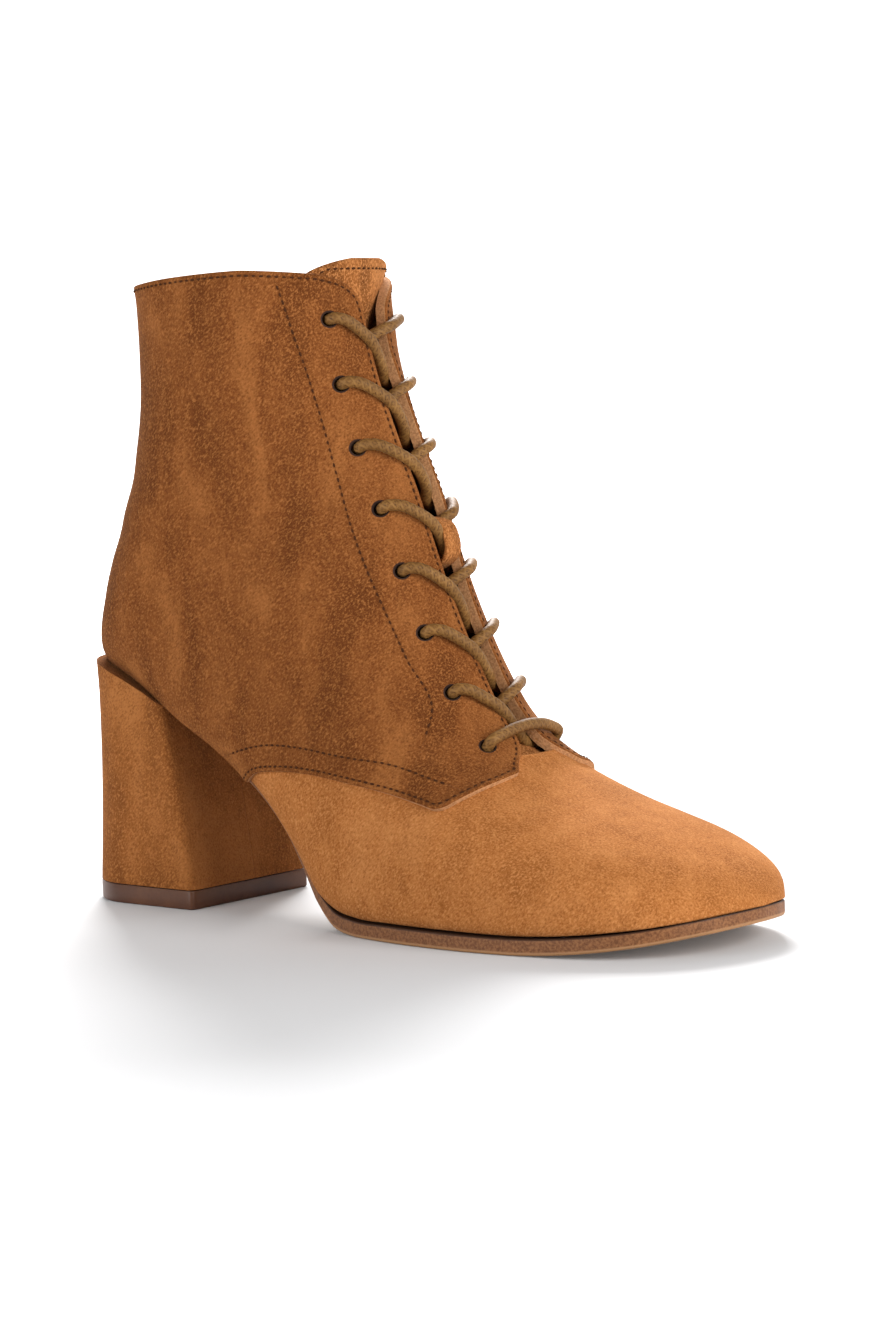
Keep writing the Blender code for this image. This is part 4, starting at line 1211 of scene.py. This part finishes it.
def buildHeel():
    breast = soleTable[0, 0] * boot["length"] - heelCut["topFrontInset"]
    back, half = heelCut["topBack"] * boot["length"], heelCut["topHalf"] * boot["ballWidth"]
    top = np.array((back, breast, half))
    start = boot["topLift"] + boot["gap"]
    shares = np.linspace(0, 1.05, 90)
    plans = []
    for share in shares:
        back, front, half = heelRest + (top - heelRest) * share
        swell = heelCut["swell"] * sin(pi * share)
        plans.append(heelPlan(back + swell, front, half, heelCut["corner"]))
    plans = np.array(plans)
    rings = []
    for level in np.linspace(0, 1, heelCut["levels"]):
        at = np.full(plans.shape[1], level)
        for _ in range(8):  # the plan at each point's own height
            plan = np.array([[np.interp(share, shares, plans[:, i, axis]) for axis in (0, 1)]
                             for i, share in enumerate(at)])
            height = start + (seatHeight(plan[:, 0]) - 0.0002 - start) * level
            at = (height - start) / (1.08 * boot["heelHeight"] - boot["topLift"])
        rings.append(np.column_stack([plan, height]))
    cover = ringMesh("heelCover", rings, [heelSuede])
    away = np.array(rings)[:, :, 1] - heelCut["seamPlace"]  # the seam runs down the breast
    away[:, :heelCut["round"]] = farAway
    setField(cover.data, "breastSeam", away)
    return cover


heel = buildHeel()
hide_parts("heel_block")
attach(heel, "root")


def buildTopLift():
    plan = heelPlan(*heelRest, 0.6 * heelCut["corner"])
    rings = []
    for scale, z in liftRings:
        flat = liftMiddle + (plan - liftMiddle) * scale
        rings.append(np.column_stack([flat, np.full(len(flat), z)]))
    return ringMesh("heelTip", rings, [liftRubber])


liftRubber = leather("liftRubber", (0.105, 0.038, 0.015), (0.066, 0.023, 0.010),
                     0.42, 600.0, 0.00004, 0.1)
topLift = buildTopLift()
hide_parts("top_lift")
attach(topLift, "root")


def soleEdgeMaterial():
    s = Shader("soleEdge", (0.17, 0.07, 0.03), 0.55, **{"Specular IOR Level": 0.25})
    speck = s.noise(1300.0, 3.0, 0.65)
    band = s.field("level")
    s.shades(
        (0.110, 0.039, 0.012),
        (speck, 0.32, 0.68, 0.0, 1.0, (0.230, 0.094, 0.034)),
        (band, 0.88, 0.97, 0.0, 1.0, (0.040, 0.015, 0.006)),
        (band, 0.16, 0.28, 0.75, 0.0, (0.360, 0.190, 0.085)),
    )
    s.bump((speck, 0.0001))
    return s.material


soleCut = {
    "round": 0.0003,  # how far the upper edge is rounded in
    "drop": 0.0004,  # and down
    "edge": 0.15,  # share of the thickness that the lower edge is rounded over
    "thinFrom": 0.012,  # tuck at which the waist's edge starts to thin
    "thinReach": 0.037,
    "toe": 0.96,  # share of the length past which sections come closer
}


def soleSide(top, bottom, corner, draw):  # (inset, z) down one side of a section
    drop, turn = soleCut["drop"], soleCut["round"]
    side = [(turn * (1 - sin(t * pi / 2)), top - drop * t) for t in np.linspace(0, 1, 4)]
    side += [(0.0, top - drop + (corner - top + drop) * t) for t in np.linspace(0.15, 1, 5)]
    for t in np.linspace(0.1, 1, 6) * pi / 2:
        side.append((draw * (1 - cos(t)), corner + (bottom - corner) * sin(t)))
    return side


def buildSole():
    toe, step = soleCut["toe"], boot["gap"]
    along = np.unique(np.concatenate([
        np.linspace(soleTable[0, 0], toe, 260), np.linspace(toe, soleTable[-1, 0], 40),
    ]))
    rings, levels = [], []
    for share in along:
        x = share * boot["length"] - restCentre
        thick, outer, inner, tuck = (
            float(smoothLine(np.array([share]), soleTable[:, 0], column)[0])
            for column in soleTable[:, 2:].T
        )
        top = float(seatHeight(x))
        slope = float(seatHeight(x + step) - seatHeight(x - step)) / (2 * step)
        bottom = max(top - thick * boot["soleThickness"] * (1 + slope**2) ** 0.5, 0.0)
        thin = min(1.0, risen(tuck, soleCut["thinFrom"], soleCut["thinReach"]))
        edge = soleCut["edge"] * boot["soleThickness"]
        corner = (bottom + edge) * (1 - thin) + (top - edge) * thin
        low, high, draw = (value * boot["ballWidth"] for value in (-outer, inner, tuck))
        side = soleSide(top, bottom, corner, draw)
        ring = [(x, low + inset, z) for inset, z in side]
        middle = np.linspace(ring[-1][1], high - side[-1][0], 14)[1:-1]
        ring += [(x, y, bottom) for y in middle]
        ring += [(x, high - inset, z) for inset, z in side[::-1]]
        rings.append(ring)
        levels.append([(z - bottom) / max(top - bottom, 1e-6) for _, _, z in ring])
    sole = ringMesh("soleUnit", rings, [soleEdgeMaterial()])
    setField(sole.data, "level", levels)
    return sole


sole = buildSole()
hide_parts("outsole")
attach(sole, "root")
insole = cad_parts["insole"]
insole.data.materials.clear()
insole.data.materials.append(insoleLeather)
print("heel and sole built")

# stitches
stitching = {
    "pitch": 0.0022,
    "length": 0.0013,
    "width": 0.00062,
    "seed": 7,
    "color": (0.040, 0.015, 0.006),
    "plies": ((0.024, 0.009, 0.004), (0.075, 0.028, 0.010)),
}


def threadMaterial():
    s = Shader("thread", stitching["color"], 0.9, **{"Specular IOR Level": 0.05})
    ply = s.noise(2600.0, 1.0, 0.5)
    s.color(s.blend(ply, *stitching["plies"]))
    s.bump((ply, 0.00006))
    return s.material


def stitchTree(material):
    tree = bpy.data.node_groups.new("stitchRow", "GeometryNodeTree")
    face = tree.interface
    face.new_socket("Geometry", in_out="INPUT", socket_type="NodeSocketGeometry")
    face.new_socket("Geometry", in_out="OUTPUT", socket_type="NodeSocketGeometry")
    sockets = {}
    for key in ("pitch", "length", "width", "seed"):
        kind = "NodeSocketInt" if key == "seed" else "NodeSocketFloat"
        socket = face.new_socket(key.capitalize(), in_out="INPUT", socket_type=kind)
        sockets[key] = socket.identifier
    node = tree.nodes.new
    inputs, output = node("NodeGroupInput"), node("NodeGroupOutput")
    toCurve = node("GeometryNodeMeshToCurve")
    resample = node("GeometryNodeResampleCurve")
    resample.mode = "LENGTH"
    tangent = node("GeometryNodeInputTangent")
    align = node("FunctionNodeAlignRotationToVector")
    align.axis = "X"
    bead = node("GeometryNodeMeshIcoSphere")
    bead.inputs["Radius"].default_value = 0.5
    bead.inputs["Subdivisions"].default_value = 2
    size = node("ShaderNodeCombineXYZ")
    jitter = node("FunctionNodeRandomValue")
    jitter.data_type = "FLOAT"
    jitter.inputs[2].default_value, jitter.inputs[3].default_value = 0.88, 1.12
    scale = node("ShaderNodeVectorMath")
    scale.operation = "SCALE"
    instance = node("GeometryNodeInstanceOnPoints")
    realize = node("GeometryNodeRealizeInstances")
    smooth = node("GeometryNodeSetShadeSmooth")
    paint = node("GeometryNodeSetMaterial")
    paint.inputs["Material"].default_value = material
    link = tree.links.new
    link(inputs.outputs["Geometry"], toCurve.inputs[0])
    link(toCurve.outputs[0], resample.inputs["Curve"])
    link(inputs.outputs["Pitch"], resample.inputs["Length"])
    link(resample.outputs[0], instance.inputs["Points"])
    link(tangent.outputs[0], align.inputs["Vector"])
    link(align.outputs[0], instance.inputs["Rotation"])
    link(bead.outputs["Mesh"], instance.inputs["Instance"])
    link(inputs.outputs["Length"], size.inputs[0])
    link(inputs.outputs["Width"], size.inputs[1])
    link(inputs.outputs["Width"], size.inputs[2])
    link(inputs.outputs["Seed"], jitter.inputs["Seed"])
    link(size.outputs[0], scale.inputs[0])
    link(jitter.outputs[1], scale.inputs["Scale"])
    link(scale.outputs[0], instance.inputs["Scale"])
    link(instance.outputs[0], realize.inputs[0])
    link(realize.outputs[0], smooth.inputs["Geometry"])
    link(smooth.outputs[0], paint.inputs["Geometry"])
    link(paint.outputs[0], output.inputs[0])
    return tree, sockets


def buildStitches(name, lines, material):
    points, edges = [], []
    for line in lines:
        first = len(points)
        points += line.tolist()
        edges += [(first + i, first + i + 1) for i in range(len(line) - 1)]
    mesh = bpy.data.meshes.new(name)
    mesh.from_pydata(points, edges, [])
    guide = addObject(name + "Guide", mesh)
    tree, sockets = stitchTree(material)
    modifier = guide.modifiers.new("stitches", "NODES")
    modifier.node_group = tree
    for key, identifier in sockets.items():
        modifier[identifier] = stitching[key]
    depsgraph = bpy.context.evaluated_depsgraph_get()
    solid = bpy.data.meshes.new_from_object(guide.evaluated_get(depsgraph))
    guide.modifiers.clear()
    bpy.data.objects.remove(guide)
    return addObject(name, solid)


evenLines = [evenLine(line, 0.0008) for line in stitchLines]
stitches = buildStitches("upperStitches", evenLines, threadMaterial())
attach(stitches, "root")
print("stitches sewn", len(stitches.data.polygons))

# camera, light and floor
studio = {
    "eye": (0.73765, -0.7659, 0.1672),
    "right": (0.7712, 0.6358, -0.0320),
    "up": (-0.0354, 0.0929, 0.9950),
    "lens": 94.32,
    "sensor": 36.0,
    "nearest": 0.05,
    "world": 0.27,
    "lamps": (  # place, size, power
        ((-0.85, 1.05, 1.15), 0.6, 62.0),
        ((-0.40, -1.80, 0.40), 1.4, 28.0),
        ((1.50, -0.05, 0.62), 1.0, 28.0),
    ),
    "lampAim": (0.08, 0.0, 0.08),
    "floor": (0.56, 0.56, 0.565),
    "floorGlow": (0.04, 0.95),
    "glowReach": (0.30, 0.75),
}
# the paper sweep: level direction away from the camera, and its sizes
sweep = {
    "away": (-0.6357, 0.7662, 0.0),
    "front": -3.0,
    "bend": 1.2,
    "top": 6.0,
    "halfWidth": 6.0,
    "below": 0.00005,
}


def setCamera():
    camera = addObject("camera", bpy.data.cameras.new("camera"))
    right = Vector(studio["right"]).normalized()
    back = right.cross(Vector(studio["up"])).normalized()
    up = back.cross(right)
    matrix = Matrix((right, up, back)).transposed().to_4x4()
    matrix.translation = Vector(studio["eye"])
    camera.matrix_world = matrix
    camera.data.lens = studio["lens"]
    camera.data.sensor_width = studio["sensor"]
    camera.data.clip_start = studio["nearest"]
    bpy.context.scene.camera = camera


def setLight():
    world = bpy.data.worlds.new("studio")
    bpy.context.scene.world = world
    world.use_nodes = True
    sky = world.node_tree.nodes["Background"].inputs
    sky["Color"].default_value = (1.0, 1.0, 1.0, 1.0)
    sky["Strength"].default_value = studio["world"]
    for i, (place, size, power) in enumerate(studio["lamps"]):
        lamp = addObject(f"softbox{i}", bpy.data.lights.new(f"softbox{i}", "AREA"))
        lamp.data.size = size
        lamp.data.energy = power
        lamp.location = place
        toBoot = Vector(studio["lampAim"]) - Vector(place)
        lamp.rotation_euler = toBoot.to_track_quat("-Z", "Y").to_euler()
    bpy.context.scene.view_settings.view_transform = "Standard"


def setFloor():  # a paper sweep that turns up far behind the boot
    mesh = bpy.data.meshes.new("floor")
    back = Vector(sweep["away"]).normalized()
    side = Vector((back.y, -back.x, 0.0)) * sweep["halfWidth"]
    bend = sweep["bend"]
    profile = [(sweep["front"], 0.0), (bend, 0.0)]
    for t in np.linspace(0.1, pi / 2, 14):
        profile.append((bend + bend * sin(t), bend - bend * cos(t)))
    profile.append((2 * bend, sweep["top"]))
    corners = [back * run + side * s + Vector((0, 0, z - sweep["below"]))
               for run, z in profile for s in (-1, 1)]
    strips = [(i, i + 1, i + 3, i + 2) for i in range(0, 2 * len(profile) - 2, 2)]
    mesh.from_pydata(corners, [], strips)
    mesh.shade_smooth()
    floor = addObject("floor", mesh)
    paper = Shader("paper", studio["floor"], 0.9, **{"Emission Color": (1.0, 1.0, 1.0, 1.0)})
    # the paper glows, faint near the boot and strong far off: painted light that keeps the far
    # floor white
    far = paper.add("VectorMath", {0: paper.place()}, operation="LENGTH").outputs["Value"]
    glow = paper.ramp(far, *studio["glowReach"], *studio["floorGlow"])
    paper.put(paper.surface.inputs["Emission Strength"], glow)
    mesh.materials.append(paper.material)


setCamera()
setLight()
setFloor()
print("studio lit")
